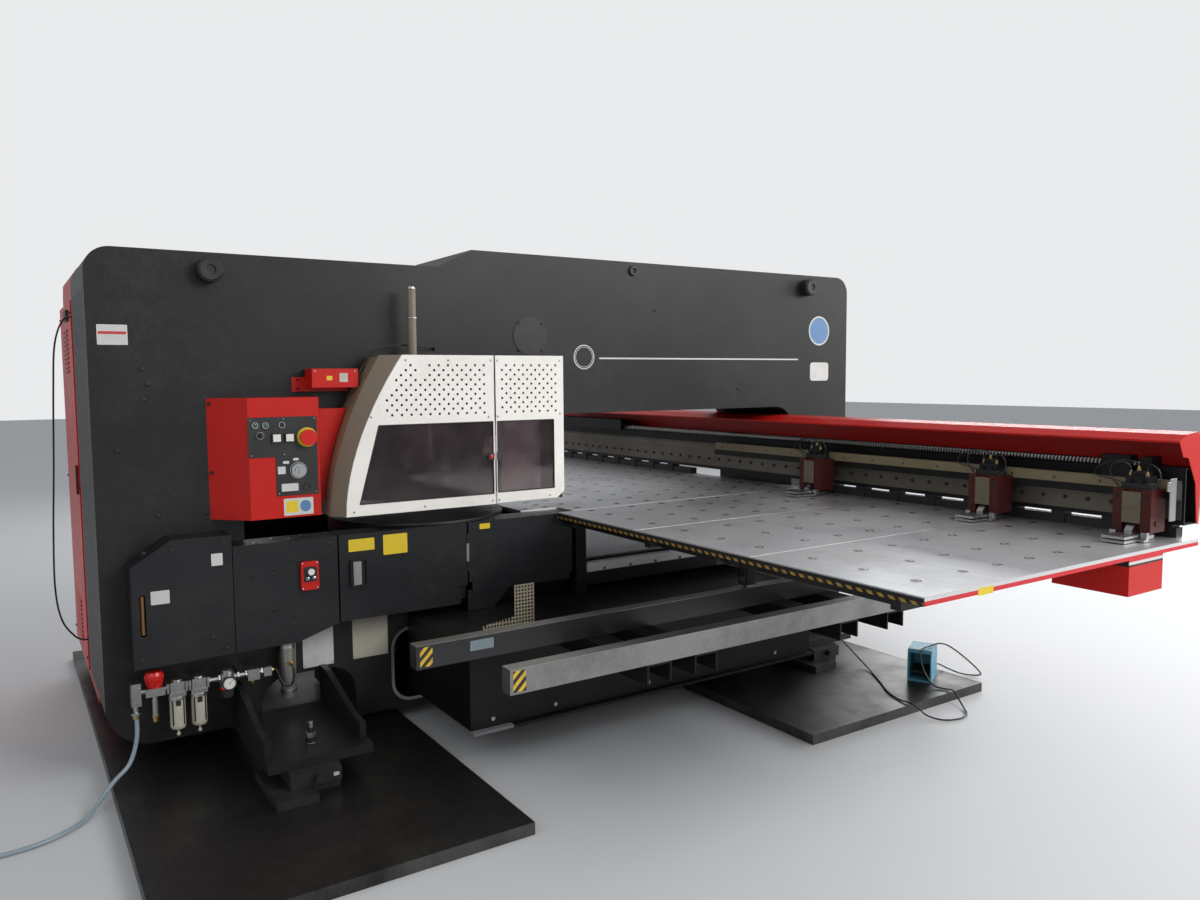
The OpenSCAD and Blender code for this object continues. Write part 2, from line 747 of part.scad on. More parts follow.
module access_door()
  color(charcoal) {
    difference() {
      yz(door_x + seat, cx - door_x - seat) door_outline();
      yz(door_x - 5, cx - door_x - cover_t + 5) offset(delta = -cover_t) door_outline();
      lug_notch([cx - 2, hinge_y], [695, 869], 12);
    }
    hinge_sleeve([cx - 2, hinge_y], [695, 869], 12);
    difference() {
      yz(cx, 12) round_rect([-1160, -1082], [690, 812], 10);
      yz(cx + 3, 12) translate([-1152, 698]) square([62, 106]);
      rod_z(cx + 8, -1143, [692, 810], 6 + 2 * bore_c);
    }
  }

module door_latch()
  color(steel) {
    blk([cx + 6, cx + 10], [-1147, -1112], [700, 802]);
    rod_z(cx + 8, -1143, [693, 809], 6);
  }

// ---- press line and turret
module press_head()
  color(steel) {
    difference() {
      union() {
        rod_z(0, punch_y, [upper_z1 + 130, throat_h], 240);
        rod_z(0, punch_y, [throat_h - 25, throat_h], 340);
      }
      rod_z(0, punch_y, [upper_z1 + 120, throat_h - 15], striker_d + 2 * bore_c);
    }
    rod_z(0, turret_y, [upper_z0 - 25, throat_h], spindle_d);
    rod_z(0, turret_y, [upper_z0 - 25, upper_z0 - seat], spindle_d + 60);
    rod_z(0, turret_y, [upper_z1 + 20, throat_h], spindle_d + 90);
    rod_z(0, turret_y, [lower_beam_h, table_h - 5], spindle_d);
    rod_z(0, turret_y, [lower_beam_h, lower_z0 - seat], spindle_d + 60);
    rod_z(0, turret_y, [lower_beam_h, lower_beam_h + 30], spindle_d + 190);
  }

module striker()
  color(steel)
    rod_z(0, punch_y, [upper_z1 + head_h + 37, throat_h - 50], striker_d);

module station_ring()
  for (i = [0 : stations - 1])
    translate([0, turret_y, 0]) rotate([0, 0, 90 + 360 * i / stations])
      translate([track_r, 0, 0]) children();

module upper_turret()
  color(steel) {
    difference() {
      rod_z(0, turret_y, [upper_z0, upper_z1], 2 * turret_r);
      rod_z(0, turret_y, [upper_z0 - 1, upper_z1 + 1], spindle_d + 2 * bore_c);
      station_ring() translate([0, 0, upper_z0 + 15])
        cylinder(d = station_d, h = upper_t);
    }
    station_ring() translate([0, 0, upper_z0 + 15])
      cylinder(d = station_d - 0.2, h = upper_t - 15 + head_h - 10);
    station_ring() translate([0, 0, upper_z1 + head_h - 10])
      cylinder(d = station_d * 0.7, h = 10);
  }

module lower_turret()
  color(steel)
    difference() {
      rod_z(0, turret_y, [lower_z0, table_h], 2 * turret_r);
      rod_z(0, turret_y, [lower_z0 - 1, table_h + 1], spindle_d + 2 * bore_c);
      station_ring() translate([0, 0, lower_z0 - 1]) cylinder(d = station_d / 2, h = lower_t + 2);
      station_ring() translate([0, 0, table_h - 3]) difference() {
        cylinder(d = station_d + 4, h = 5);
        translate([0, 0, -1]) cylinder(d = station_d, h = 8);
      }
    }

// ---- fixed centre table and what carries it
module centre_table()
  color(steel) {
    difference() {
      xy(frame_z1, panel_t) polygon([[-xf + 5, -240], [xf - 5, -240], [xf - 5, -26],
        [centre_half, -26], [centre_half, table_y1], [-centre_half, table_y1],
        [-centre_half, -26], [-xf + 5, -26]]);
      rod_z(0, turret_y, [frame_z1 - 5, table_h + 5], 2 * turret_r + 10);
    }
    both_sides() blk([xi - 30, xi], [-100, 1480], [lower_beam_h, frame_z1]);
  }

module outriggers()
  color(black)
    both_sides() {
      difference() {
        blk([xf, 1000], [-850, 1100], [150, 500]);
        blk([xf - 5, 994], [-844, 1094], [156, 494]);
      }
      blk([940, 1030], [-850, 1100], [138, 150]);
      for (y = arm_y)
        difference() {
          blk([1000, rail_x[1] + rail_sec_w / 2], [y, y + 115], [430, rail_h - rail_sec_h]);
          blk([995, rail_x[1] + rail_sec_w / 2 + 5], [y + 8, y + 107],
            [425, rail_h - rail_sec_h - 8]);
        }
      blk([guide_x0, guide_x0 + 60], [0, 60], [500, frame_z1]);
      blk([xf, guide_x0 + 60], [60, 1580], [ledge_z0, guide_z0]);
      rod_y(950, [1100, 1120], 400, 18);
    }

module support_rails()
  color(steel)
    both_sides()
      for (i = [0, 1])
        difference() {
          blk([rail_x[i] - rail_sec_w / 2, rail_x[i] + rail_sec_w / 2],
            [rail_y0[i], table_y1], [rail_h - rail_sec_h, rail_h]);
          blk([rail_x[i] - rail_sec_w / 2 + 6, rail_x[i] + rail_sec_w / 2 - 6],
            [rail_y0[i] + 6, table_y1 + 5], [rail_h - rail_sec_h + 6, rail_h - 6]);
        }

module y_guides()
  color(steel)
    both_sides()
      difference() {
        blk([guide_x0, guide_x0 + guide_w], [75, 1575], [guide_z0, guide_z0 + 45]);
        for (x = [guide_x0 - 1, guide_x0 + guide_w - 7])
          blk([x, x + 8], [70, 1580], [guide_z0 + 18, guide_z0 + 28]);
      }

// ---- feet
module foot_brackets()
  color(charcoal)
    both_sides()
      for (f = foot_y) {
        difference() {
          blk([xf, xf + foot_reach], [f - foot_w / 2, f + foot_w / 2],
            [foot_z0, foot_z0 + foot_t]);
          rod_z(xf + 450, f, [foot_z0 - 5, foot_z0 + foot_t + 5], 26);
        }
        for (y = [f - foot_w / 2 + 5, f + foot_w / 2 - 30])
          xz(y, 25) polygon([[xf, foot_z0 + foot_t], [xf, 330], [xf + 90, 330],
            [xf + 420, foot_z0 + foot_t + 72], [xf + 530, foot_z0 + foot_t + 66],
          [xf + 530, foot_z0 + foot_t]]);
      }

module level_mounts()
  color(charcoal)
    both_sides()
      for (f = foot_y) {
        xz(f - 130, 190) polygon([[xf + 330, floor_t + 30], [xf + 640, floor_t + 30],
          [xf + 640, foot_z0 - 8], [xf + 600, foot_z0], [xf + 330, foot_z0]]);
        blk([xf + 380, xf + 720], [f - foot_w / 2, f - 50], [floor_t, floor_t + 30]);
        blk([xf + 340, xf + 620], [f - 50, f + 60], [floor_t, floor_t + 30]);
        rod_x([xf + 640, xf + 668], f - 30, foot_z0 - 30, 30);
        rod_z(xf + 450, f, [foot_z0 - 2, foot_z0 + foot_t + 60], 24);
        rod_z(xf + 450, f, [foot_z0 + foot_t, foot_z0 + foot_t + 18], 44);
      }

module floor_plates()
  color(steel) {
    blk([-floor_half, floor_half], [y0, y0 + 1200], [0, floor_t]);
    blk([-floor_half, floor_half], [470, 1670], [0, floor_t]);
  }

// ---- air unit
module air_manifold()
  color(steel) {
    rod_y(air_x, [-2000, -1500], air_z, 26);
    blk([air_x - 25, air_x + 25], [-2025, -1990], [330, 420]);
    rod_z(air_x, -2008, [300, 332], 18);
    blk([air_x - 30, air_x + 30], [-1975, -1905], [360, 392]);
    rod_z(air_x, knob_y, [270, 362], 22);
    for (y = bowl_y)
      {
        xy(345, 16) round_rect([air_x - 35, air_x + 35], [y - 32, y + 32], 6);
        xy(361, 41) round_rect([air_x - 29, air_x + 29], [y - 27, y + 27], 5);
        rod_z(air_x, y, [402, 408], 40);
        for (v = [y - 38, y + 30])
          blk([air_x - 20, air_x + 20], [v, v + 8], [358, 398]);
      }
    rod_z(air_x, reg_y, [342, 400], 60);
    rod_z(air_x, reg_y, [400, 412], 46);
    rod_x([air_x + 30, air_x + 48], reg_y, 366, 56);
    blk([air_x - 20, air_x + 20], [-1592, -1545], [352, 398]);
    blk([air_x - 16, air_x + 16], [-1528, -1496], [358, 396]);
    for (y = [-1835, -1620])
      blk([xf, air_x], [y, y + 30], [372, 390]);
  }

module valve_knob()
  color(red) {
    translate([air_x, knob_y, 392 + seat]) rotate_extrude()
      polygon([[0, 0], [25, 0], [33, 34], [33, 48], [27, 60], [0, 60]]);
  }

module regulator_knob()
  color(black)
    rod_z(air_x, reg_y, [300, 342 - seat], 46);

module air_vessels()
  color(steel) {
    for (y = bowl_y)
      translate([air_x, y, 0]) rotate_extrude()
        polygon([[0, 176], [6, 178], [8, 183], [6, 189], [4, 192], [4, 205],
          [bowl_d / 2 - 12, 205], [bowl_d / 2 - 3, 210], [bowl_d / 2, 220],
          [bowl_d / 2, 345], [0, 345]]);
    rod_z(xf + 62, tank_y, [238, 476], tank_d);
    blk([xf, xf + 40], [tank_y - 25, tank_y + 25], [290, 420]);
  }

// ---- moving table and cross beam
module table_panels()
  color(steel)
    both_sides()
      for (p = [[side_in, 1138], [1142, 1863], [1867, table_reach]])
        blk([p[0], p[1]], [table_y0, table_y1], [frame_z1, table_h]);

// Base rail and short legs that carry the cross beam over the table
module beam_feet() {
  blk([side_in + 20, cross_half - 30], [beam_y0 + 10, beam_y0 + 60],
    [table_h, table_h + base_h]);
  for (x = [leg_x : leg_step : cross_half - 80])
    blk([x, x + 60], [beam_y0 + 5, beam_y0 + 65], [table_h, beam_z0]);
}

module table_frames()
  color(black)
    both_sides() {
      beam_feet();
      difference() {
        union() {
          for (x = [side_in + 4, rail_x[0] - 20, rail_x[1] - 20, table_reach - 170])
            blk([x, x + 40], [table_y0 + 60, table_y1 - 2], [frame_z0, frame_z1]);
          for (y = [table_y0 + 110, 700, table_y1 - 62])
            blk([side_in + 4, table_reach - 130], [y, y + 40], [frame_z0, frame_z1]);
          blk([guide_x0 - 15, guide_x0 + 60], saddle_y, [guide_z0 + 12, guide_z0 + 100]);
          blk([guide_x0 + 55, side_in + 44], saddle_y, [guide_z0 + 50, frame_z0]);
          for (x = [rail_x[0] - 31, rail_x[0] + 19])
            blk([x, x + 12], [roller_y - 25, roller_y + 25], [rail_h + 12, frame_z0]);
        }
        blk([guide_x0 - 0.5, guide_x0 + guide_w + 0.5], [saddle_y[0] - 5, saddle_y[1] + 5],
          [guide_z0, guide_z0 + 45.5]);
      }
      rod_x([rail_x[0] - 30, rail_x[0] + 30], roller_y, roller_z, 12);
      blk([table_reach, table_reach + 3], [table_y0, table_y1], [skirt_z0, table_h]);
      blk([side_in, table_reach], [table_y0 - 3, table_y0], [skirt_z0, table_h - 5]);
      difference() {
        blk([table_reach - 292, table_reach + 3], [1060, 1310], [765, skirt_z0 + 1]);
        blk([table_reach - 289, table_reach], [1063, 1307], [768, skirt_z0 + 5]);
      }
    }

module roller(s)
  color(steel)
    difference() {
      rod_x([s * rail_x[0] - 18, s * rail_x[0] + 18], roller_y, roller_z, roller_d);
      rod_x([s * rail_x[0] - 20, s * rail_x[0] + 20], roller_y, roller_z, 12 + 2 * bore_c);
    }

module roller_right() roller(1);

module roller_left() roller(-1);

module cross_beam()
  color(black) {
    difference() {
      blk([-cross_half, cross_half], [beam_y0, beam_y0 + cross_w], [beam_z0, cross_z1]);
      blk([-cross_half - 5, cross_half + 5], [beam_y0 + 8, beam_y0 + cross_w - 8],
        [beam_z0 + 8, cross_z1 - 8]);
    }
    difference() {
      union() {
        blk([-2100, screw_x0 + 30], [screw_y - 50, beam_y0 + 20], [motor_z0, screw_z + 52]);
        blk([screw_x1 - 35, screw_x1 + 10], [screw_y - 24, beam_y0 + 20],
          [cross_z1 - 30, screw_z + 30]);
      }
      rod_x([screw_x0 - 50, screw_x1 + 30], screw_y, screw_z, screw_d + 2 * bore_c);
    }
  }

module beam_cover()
  color(red) {
    yb = beam_y0 + cross_w;
    z1 = screw_z + 133;
    yz(-cross_half - 6, 2 * cross_half + 12) polygon([[1440, z1 - 40], [1440, z1 - 32],
      [1492, z1 - 8], [yb - 30, z1], [yb + 3, z1 - 38], [yb + 3, beam_z0], [yb, beam_z0],
      [yb, z1 - 39], [yb - 31, z1 - 3], [1493, z1 - 11], [1443, z1 - 34], [1443, z1 - 40]]);
    both_sides()
      yz(cross_half + 6, 3) polygon([[1440, z1 - 35], [1475, z1 - 96],
        [1517, z1 - 101], [1584, z1 - 207], [1606, beam_z0], [yb + 3, beam_z0],
        [yb + 3, z1 - 38], [yb - 30, z1], [1492, z1 - 8], [1440, z1 - 32]]);
  }

module x_guides()
  color(steel) {
    half = cross_half - 10;
    blk([-half, half], [beam_y0 - strip_t, beam_y0], [beam_z0 + 20, guide_z + 40]);
    blk([-half, half], [beam_y0 - strip_t - rail_d, beam_y0 - strip_t],
      [guide_z, guide_z + 30]);
  }

module x_screw()
  color(steel)
    rod_x([screw_x0, screw_x1], screw_y, screw_z, screw_d);

module carriage_bar()
  color(charcoal) {
    difference() {
      union() {
        blk([bar_x0, bar_x1], [bar_y0, bar_y1], [bar_z0, bar_z0 + bar_h]);
        for (x = [bar_x0 + 20, 1150, bar_x1 - 150])
          blk([x, x + 120], [bar_y1 - 5, beam_y0 - strip_t - 0.5],
            [guide_z - 14, guide_z + 44]);
        blk([nut_x - 60, nut_x + 60], [bar_y0, screw_y + 32],
          [bar_z0 + bar_h - 5, screw_z + 32]);
      }
      blk([bar_x0 - 5, bar_x1 + 5], [beam_y0 - strip_t - rail_d - 0.5, beam_y0],
        [guide_z - 0.5, guide_z + 30.5]);
      rod_x([nut_x - 70, nut_x + 70], screw_y, screw_z, screw_d + 2 * bore_c);
    }
  }

// ---- workholders
module clamp_body(x)
  color([0.25, 0.06, 0.06])
    difference() {
      w = clamp_w / 2;
      top = clamp_z0 + cheek_h;
      union() {
        blk([x - w, x + w], [clamp_y0 + 22, bar_y0 - seat], [clamp_z0, top]);
        for (c = [x - w, x + w - 38])
          blk([c, c + 38], [clamp_y0, clamp_y0 + 30], [clamp_z0, top]);
        rod_z(x, clamp_y0 + 22, [clamp_z0 + 60, top - 8], 44);
        blk([x - 46, x + 40], [clamp_y0 + 38, bar_y0 - seat],
          [top - 2, clamp_z0 + clamp_h - 16]);
        blk([x - 30, x + 26], [clamp_y0 + 50, bar_y0 - 12],
          [top, clamp_z0 + clamp_h]);
        for (v = [-22, 18])
          rod_y(x + v, [clamp_y0 + 26, clamp_y0 + 40], clamp_z0 + clamp_h - 36, 14);
        rod_x([x - w - 4, x + w + 4], jaw_pin[0], jaw_pin[1], 24);
        blk([x - 45, x + 45], [jaw_tip, bar_y0 - 20], [jaw_z, jaw_z + jaw_t]);
        blk([x - 45, x + 45], [clamp_y0 + 10, bar_y0 - 20], [jaw_z, clamp_z0]);
      }
      blk([x - 17, x + 17], [clamp_y0 - 40, bar_y0 - 25],
        [jaw_z + jaw_t, clamp_z0 + 75]);
      rod_x([x - 30, x + 30], jaw_pin[0], jaw_pin[1], 12 + 2 * bore_c);
    }

module jaw(x)
  color(steel) {
    blk([x - 45, x + 45], [jaw_tip, clamp_y0 - 5], [jaw_z + jaw_t + jaw_gap,
      jaw_z + jaw_t + jaw_gap + 10]);
    xw = 15;
    yz(x - xw, 2 * xw) polygon([[clamp_y0 - 20, jaw_z + jaw_t + jaw_gap],
      [clamp_y0 - 20, clamp_z0 + 8], [jaw_pin[0] - 16, jaw_pin[1] + 16],
      [jaw_pin[0] + 16, jaw_pin[1] + 16], [jaw_pin[0] + 16, jaw_pin[1] - 16],
      [clamp_y0 + 10, jaw_z + jaw_t + jaw_gap]]);
    rod_x([x - 29, x + 29], jaw_pin[0], jaw_pin[1], 12);
  }

module clamp_a() clamp_body(clamp_x[0]);

module clamp_b() clamp_body(clamp_x[1]);

module clamp_c() clamp_body(clamp_x[2]);

module jaw_a() jaw(clamp_x[0]);

module jaw_b() jaw(clamp_x[1]);

module jaw_c() jaw(clamp_x[2]);

// ---- foot switch and cords
module at_switch()
  translate([sw_at[0], sw_at[1], floor_t]) rotate([0, 0, sw_turn]) children();

module foot_switch()
  color([0.15, 0.4, 0.6])
    at_switch()
      difference() {
        w = pedal_box_w / 2;
        d = sw_d / 2;
        translate([-w, 0, 0]) rotate([90, 0, 90]) linear_extrude(2 * w)
          polygon([[-d, 0], [-d - 4, 40], [-d - 4, 118], [-d + 6, sw_h], [d - 34, sw_h],
            [d - 8, sw_h - 22], [d, sw_h - 56], [d, 0]]);
        translate([-w + 6, -d - 9, 10]) cube([2 * w - 12, sw_d - 18, sw_h - 28]);
        translate([-w + 2, sw_d / 2 - 42, 45]) rotate([0, 90, 0])
          cylinder(d = 8 + 2 * bore_c, h = 2 * w - 4);
      }

module pedal()
  color(black)
    at_switch() {
      w = pedal_box_w / 2;
      translate([-w + 10, -sw_d / 2 + 20, 40]) cube([2 * w - 20, sw_d - 62, 8]);
      translate([-w + 10, sw_d / 2 - 42, 45]) rotate([0, 90, 0])
        cylinder(d = 16, h = 2 * w - 20);
      translate([-w + 3, sw_d / 2 - 42, 45]) rotate([0, 90, 0])
        cylinder(d = 8, h = 2 * w - 6);
    }

module air_hose()
  color([0.5, 0.6, 0.65]) tube(hose_path, hose_d, 4, 10);

module hose_coil()
  color([0.5, 0.6, 0.65])
    translate([coil_at[0], coil_at[1], 0]) rotate_extrude()
      translate([coil_r[0], 0]) square([coil_r[1] - coil_r[0], coil_h]);

module hose_coupling()
  color(steel)
    translate([coil_at[0] + coil_mid, coil_at[1] + 40, 14]) rotate([-90, 0, 0]) {
      cylinder(d = 20, h = 50);
      translate([0, 0, 45]) cylinder(d = 27, h = 40);
    }

module switch_cord()
  color(black) tube(switch_path, cord_d, 2, 8);

module cabinet_cable()
  color(black) tube(cable_path, cable_d, 4, 8);

frame_plates();
frame_webs();
frame_fittings();
cabinet();
cabinet_door();
cabinet_handle();
hood_side();
guide_post();
operator_boxes();
control_panel();
lower_covers();
centre_table();
outriggers();
support_rails();
y_guides();
foot_brackets();
level_mounts();
floor_plates();
press_head();
air_manifold();
air_vessels();
hood_cover();
hood_window();
hood_door();
hood_door_window();
access_door();
door_latch();
stop_button();
push_button_a();
push_button_b();
mode_selector();
key_switch();
station_button();
upper_turret();
lower_turret();
striker();
cross_beam();
beam_cover();
table_panels();
table_frames();
x_guides();
x_screw();
carriage_bar();
clamp_a();
clamp_b();
clamp_c();
jaw_a();
jaw_b();
jaw_c();
roller_right();
roller_left();
valve_knob();
regulator_knob();
foot_switch();
pedal();
air_hose();
hose_coil();
hose_coupling();
switch_cord();
cabinet_cable();
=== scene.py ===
# %% [markdown]
# # Dressing a turret punch press
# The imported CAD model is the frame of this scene. It gives every heavy form: the bridge frame, the hood, the
# table, the beam. This lesson paints those forms, then adds what the maker would bolt, glue or rivet on them.

# %% Load the frame
import math
import bmesh
import bpy
from mathutils import Matrix, Vector


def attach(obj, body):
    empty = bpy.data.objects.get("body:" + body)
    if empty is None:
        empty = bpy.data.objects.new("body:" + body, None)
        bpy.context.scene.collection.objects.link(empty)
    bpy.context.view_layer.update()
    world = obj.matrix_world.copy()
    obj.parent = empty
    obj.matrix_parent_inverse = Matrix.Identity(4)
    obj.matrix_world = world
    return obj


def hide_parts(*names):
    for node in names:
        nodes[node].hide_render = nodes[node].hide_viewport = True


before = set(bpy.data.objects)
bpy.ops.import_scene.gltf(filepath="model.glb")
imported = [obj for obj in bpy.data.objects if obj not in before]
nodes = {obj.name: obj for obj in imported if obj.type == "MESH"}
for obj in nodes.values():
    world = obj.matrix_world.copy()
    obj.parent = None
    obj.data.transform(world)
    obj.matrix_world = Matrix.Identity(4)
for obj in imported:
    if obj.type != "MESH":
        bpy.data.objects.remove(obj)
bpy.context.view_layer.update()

# %% [markdown]
# ## Camera
# The photograph was taken at eye height near the operator's end. Its vanishing lines give the turn, the pitch and
# a very small roll, so the camera is set from those three angles and one point.

# %% Camera
def shown(name, data):
    """A new object for the data, linked to the scene."""
    obj = bpy.data.objects.new(name, data)
    bpy.context.scene.collection.objects.link(obj)
    return obj


EYE, LENS_MM = (4.34, -2.41, 1.594), 27.507
VIEW_TURN, VIEW_PITCH, VIEW_ROLL = math.radians(56.596), math.radians(4.567), math.radians(-0.425)
cam_data = bpy.data.cameras.new("view_camera")
cam_data.lens = LENS_MM
cam_data.sensor_width = 36.0
cam_data.clip_end = 200.0
cam = shown("view_camera", cam_data)
turned = (Matrix.Rotation(VIEW_TURN, 4, "Z") @ Matrix.Rotation(math.pi / 2 - VIEW_PITCH, 4, "X")
          @ Matrix.Rotation(VIEW_ROLL, 4, "Z"))
cam.matrix_world = Matrix.Translation(EYE) @ turned
bpy.context.scene.camera = cam
print("camera lens", cam_data.lens)

# %% [markdown]
# ## Floor and light
# A pale floor carries the shadows. The backdrop is seen by the camera as plain pale grey. Glass and polished metal
# mirror the dim part of the world, and the light that falls on the machine comes from it and four soft lamps.

# %% Floor, world and lamps
def node_in(tree, kind, **values):
    made = tree.nodes.new(kind)
    for key, value in values.items():
        made.inputs[key].default_value = value
    return made


def lamp(name, place, aim, size, watts, tint=(1, 1, 1)):
    data = bpy.data.lights.new(name, "AREA")
    data.shape = "RECTANGLE"
    data.size, data.size_y = size
    data.energy = watts
    data.color = tint
    obj = shown(name, data)
    obj.location = place
    obj.rotation_euler = (Vector(aim) - Vector(place)).to_track_quat("-Z", "Y").to_euler()
    obj.visible_camera = False
    return obj


world = bpy.data.worlds.new("studio")
bpy.context.scene.world = world
world.use_nodes = True
wt = world.node_tree
wt.nodes.clear()
w_out = wt.nodes.new("ShaderNodeOutputWorld")
w_mix = wt.nodes.new("ShaderNodeMixShader")
w_dim = node_in(wt, "ShaderNodeBackground", Color=(0.93, 0.96, 1.0, 1), Strength=0.46)
w_pale = node_in(wt, "ShaderNodeBackground", Color=(0.82, 0.83, 0.84, 1), Strength=1.0)
w_path = wt.nodes.new("ShaderNodeLightPath")
wt.links.new(w_path.outputs["Is Camera Ray"], w_mix.inputs[0])
wt.links.new(w_dim.outputs[0], w_mix.inputs[1])
wt.links.new(w_pale.outputs[0], w_mix.inputs[2])
wt.links.new(w_mix.outputs[0], w_out.inputs[0])
lamp("window_light", (7.0, 4.0, 5.0), (0, 0, 0.8), (6.0, 4.0), 460, (1.0, 0.99, 0.97))
lamp("near_light", (5.0, -6.0, 4.5), (0, -0.5, 1.0), (5.0, 3.5), 55, (0.97, 0.98, 1.0))
lamp("far_light", (-7.0, 2.0, 5.5), (0, 0, 1.0), (6.0, 4.0), 200).visible_glossy = False
lamp("back_light", (0.5, 9.0, 3.0), (0.8, 0.0, 0.9), (11.0, 2.8), 420, (0.97, 0.99, 1.0))

floor_bm = bmesh.new()
bmesh.ops.create_grid(floor_bm, x_segments=1, y_segments=1, size=40.0)
bmesh.ops.translate(floor_bm, verts=floor_bm.verts, vec=(0, 0, -0.001))
floor_mesh = bpy.data.meshes.new("studio_floor")
floor_bm.to_mesh(floor_mesh)
floor_bm.free()
floor = shown("studio_floor", floor_mesh)
floor_mat = bpy.data.materials.new("studio_floor")
floor_mat.use_nodes = True
floor_shader = floor_mat.node_tree.nodes["Principled BSDF"]
floor_shader.inputs["Base Color"].default_value = (0.62, 0.63, 0.64, 1)
floor_shader.inputs["Roughness"].default_value = 0.55
floor_mesh.materials.append(floor_mat)
bpy.context.scene.view_settings.view_transform = "Standard"

# %% [markdown]
# ## Helpers for pieces
# Each added piece is modelled with bmesh operators, in metres, where it sits on the machine. The helpers below add
# a box, a rod between two points, a turned profile or a flat plate to one working mesh, `bm`. `finish_piece` makes
# an object of what it holds, gives it its finish, lets it ride on its body and clears the mesh for the next piece.

# %% Shape helpers
OUT, NEAR, UP = (1, 0, 0), (0, -1, 0), (0, 0, 1)
bm = bmesh.new()


def add_box(lo, hi):
    lo, hi = Vector(lo), Vector(hi)
    made = bmesh.ops.create_cube(bm, size=1.0)["verts"]
    bmesh.ops.scale(bm, verts=made, vec=hi - lo)
    bmesh.ops.translate(bm, verts=made, vec=(lo + hi) / 2)


def aim_at(direction):
    return Vector(UP).rotation_difference(Vector(direction)).to_matrix()


def add_rod(a, b, r, sides=24, r_end=None):
    a, b = Vector(a), Vector(b)
    made = bmesh.ops.create_cone(bm, cap_ends=True, segments=sides, radius1=r,
                                 radius2=r if r_end is None else r_end, depth=(b - a).length)["verts"]
    bmesh.ops.rotate(bm, verts=made, cent=(0, 0, 0), matrix=aim_at(b - a))
    bmesh.ops.translate(bm, verts=made, vec=(a + b) / 2)


def add_turned(profile, foot, axis, steps=32):
    """profile: (radius, height) pairs from the axis out and back, turned about axis through foot."""
    before = set(bm.verts)
    verts = [bm.verts.new((r, 0, h)) for r, h in profile]
    edges = [bm.edges.new(pair) for pair in zip(verts, verts[1:])]
    bmesh.ops.spin(bm, geom=verts + edges, cent=(0, 0, 0), axis=UP, dvec=(0, 0, 0),
                   angle=2 * math.pi, steps=steps, use_merge=True, use_duplicate=False)
    bmesh.ops.remove_doubles(bm, verts=[v for v in bm.verts if v not in before], dist=1e-6)
    ring = [v for v in bm.verts if v not in before]
    bmesh.ops.rotate(bm, verts=ring, cent=(0, 0, 0), matrix=aim_at(axis))
    bmesh.ops.translate(bm, verts=ring, vec=foot)


def add_knob(rim, foot, axis, steps=32):
    """Turned piece that is closed at both ends: its rim starts at the top and ends at the foot."""
    add_turned([(0.0, rim[0][1]), *rim, (0.0, rim[-1][1])], foot, axis, steps)


def circle(count):
    """Cosines and sines of evenly spaced angles."""
    return [(math.cos(2 * math.pi * i / count), math.sin(2 * math.pi * i / count)) for i in range(count)]


def push_out(faces, push):
    grown = bmesh.ops.extrude_face_region(bm, geom=faces)["geom"]
    moved = [g for g in grown if isinstance(g, bmesh.types.BMVert)]
    bmesh.ops.translate(bm, verts=moved, vec=push)


def add_plate(outline, push):
    """A flat outline of 3-D points, pushed out into a plate."""
    push_out([bm.faces.new([bm.verts.new(p) for p in outline])], push)


def round_outline(x, y, z, r, steps=6):
    """Rounded rectangle in the plane X = x, between y[0], y[1] and z[0], z[1]."""
    pts = []
    for cy, cz, start in ((y[1] - r, z[1] - r, 0), (y[0] + r, z[1] - r, 90),
                          (y[0] + r, z[0] + r, 180), (y[1] - r, z[0] + r, 270)):
        for i in range(steps + 1):
            a = math.radians(start + 90 * i / steps)
            pts.append((x, cy + r * math.cos(a), cz + r * math.sin(a)))
    return pts


def finish_piece(name, finish, body="machine", bevel=0.0, smooth=False):
    """The working mesh becomes a piece of that name."""
    bmesh.ops.recalc_face_normals(bm, faces=bm.faces)
    mesh = bpy.data.meshes.new(name)
    for f in bm.faces:
        f.smooth = smooth
    bm.to_mesh(mesh)
    bm.clear()
    if smooth:
        mesh.set_sharp_from_angle(angle=math.radians(40))
    obj = shown(name, mesh)
    mesh.materials.append(finish)
    if bevel:
        soften = obj.modifiers.new("soft_edges", "BEVEL")
        soften.width, soften.segments, soften.limit_method = bevel, 2, "ANGLE"
        soften.angle_limit = math.radians(50)
    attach(obj, body)
    made_pieces.append((name, len(mesh.polygons)))
    return obj


made_pieces = []
print("helpers ready")

# %% [markdown]
# ## Finishes
# The real machine wears the same few finishes all over: stove enamel with a fine orange peel, rubbed steel, dull
# plastic. Dust and hand grease lie on all of them. The wear is one node group with its own values in each finish.

# %% Wear group
def new_group(name, inputs, outputs):
    group = bpy.data.node_groups.new(name, "ShaderNodeTree")
    for label, kind, value in inputs:
        socket = group.interface.new_socket(label, in_out="INPUT", socket_type=kind)
        socket.default_value = value
    for label, kind in outputs:
        group.interface.new_socket(label, in_out="OUTPUT", socket_type=kind)
    return group, group.nodes.new("NodeGroupInput"), group.nodes.new("NodeGroupOutput")


def feed(tree, socket, value):
    """Link a socket into another one, or set its plain value."""
    if isinstance(value, bpy.types.NodeSocket):
        tree.links.new(value, socket)
    else:
        socket.default_value = value


def ranged(tree, source, low, high, to_low=0.0, to_high=1.0):
    made = node_in(tree, "ShaderNodeMapRange",
                   **{"From Min": low, "From Max": high, "To Min": to_low, "To Max": to_high})
    feed(tree, made.inputs["Value"], source)
    return made.outputs["Result"]


def mixed(tree, factor, a, b, kind="RGBA"):
    made = tree.nodes.new("ShaderNodeMix")
    made.data_type = kind
    *into, out = {"RGBA": (0, 6, 7, 2), "FLOAT": (0, 2, 3, 0)}[kind]
    for slot_no, value in zip(into, (factor, a, b)):
        feed(tree, made.inputs[slot_no], value)
    return made.outputs[out]


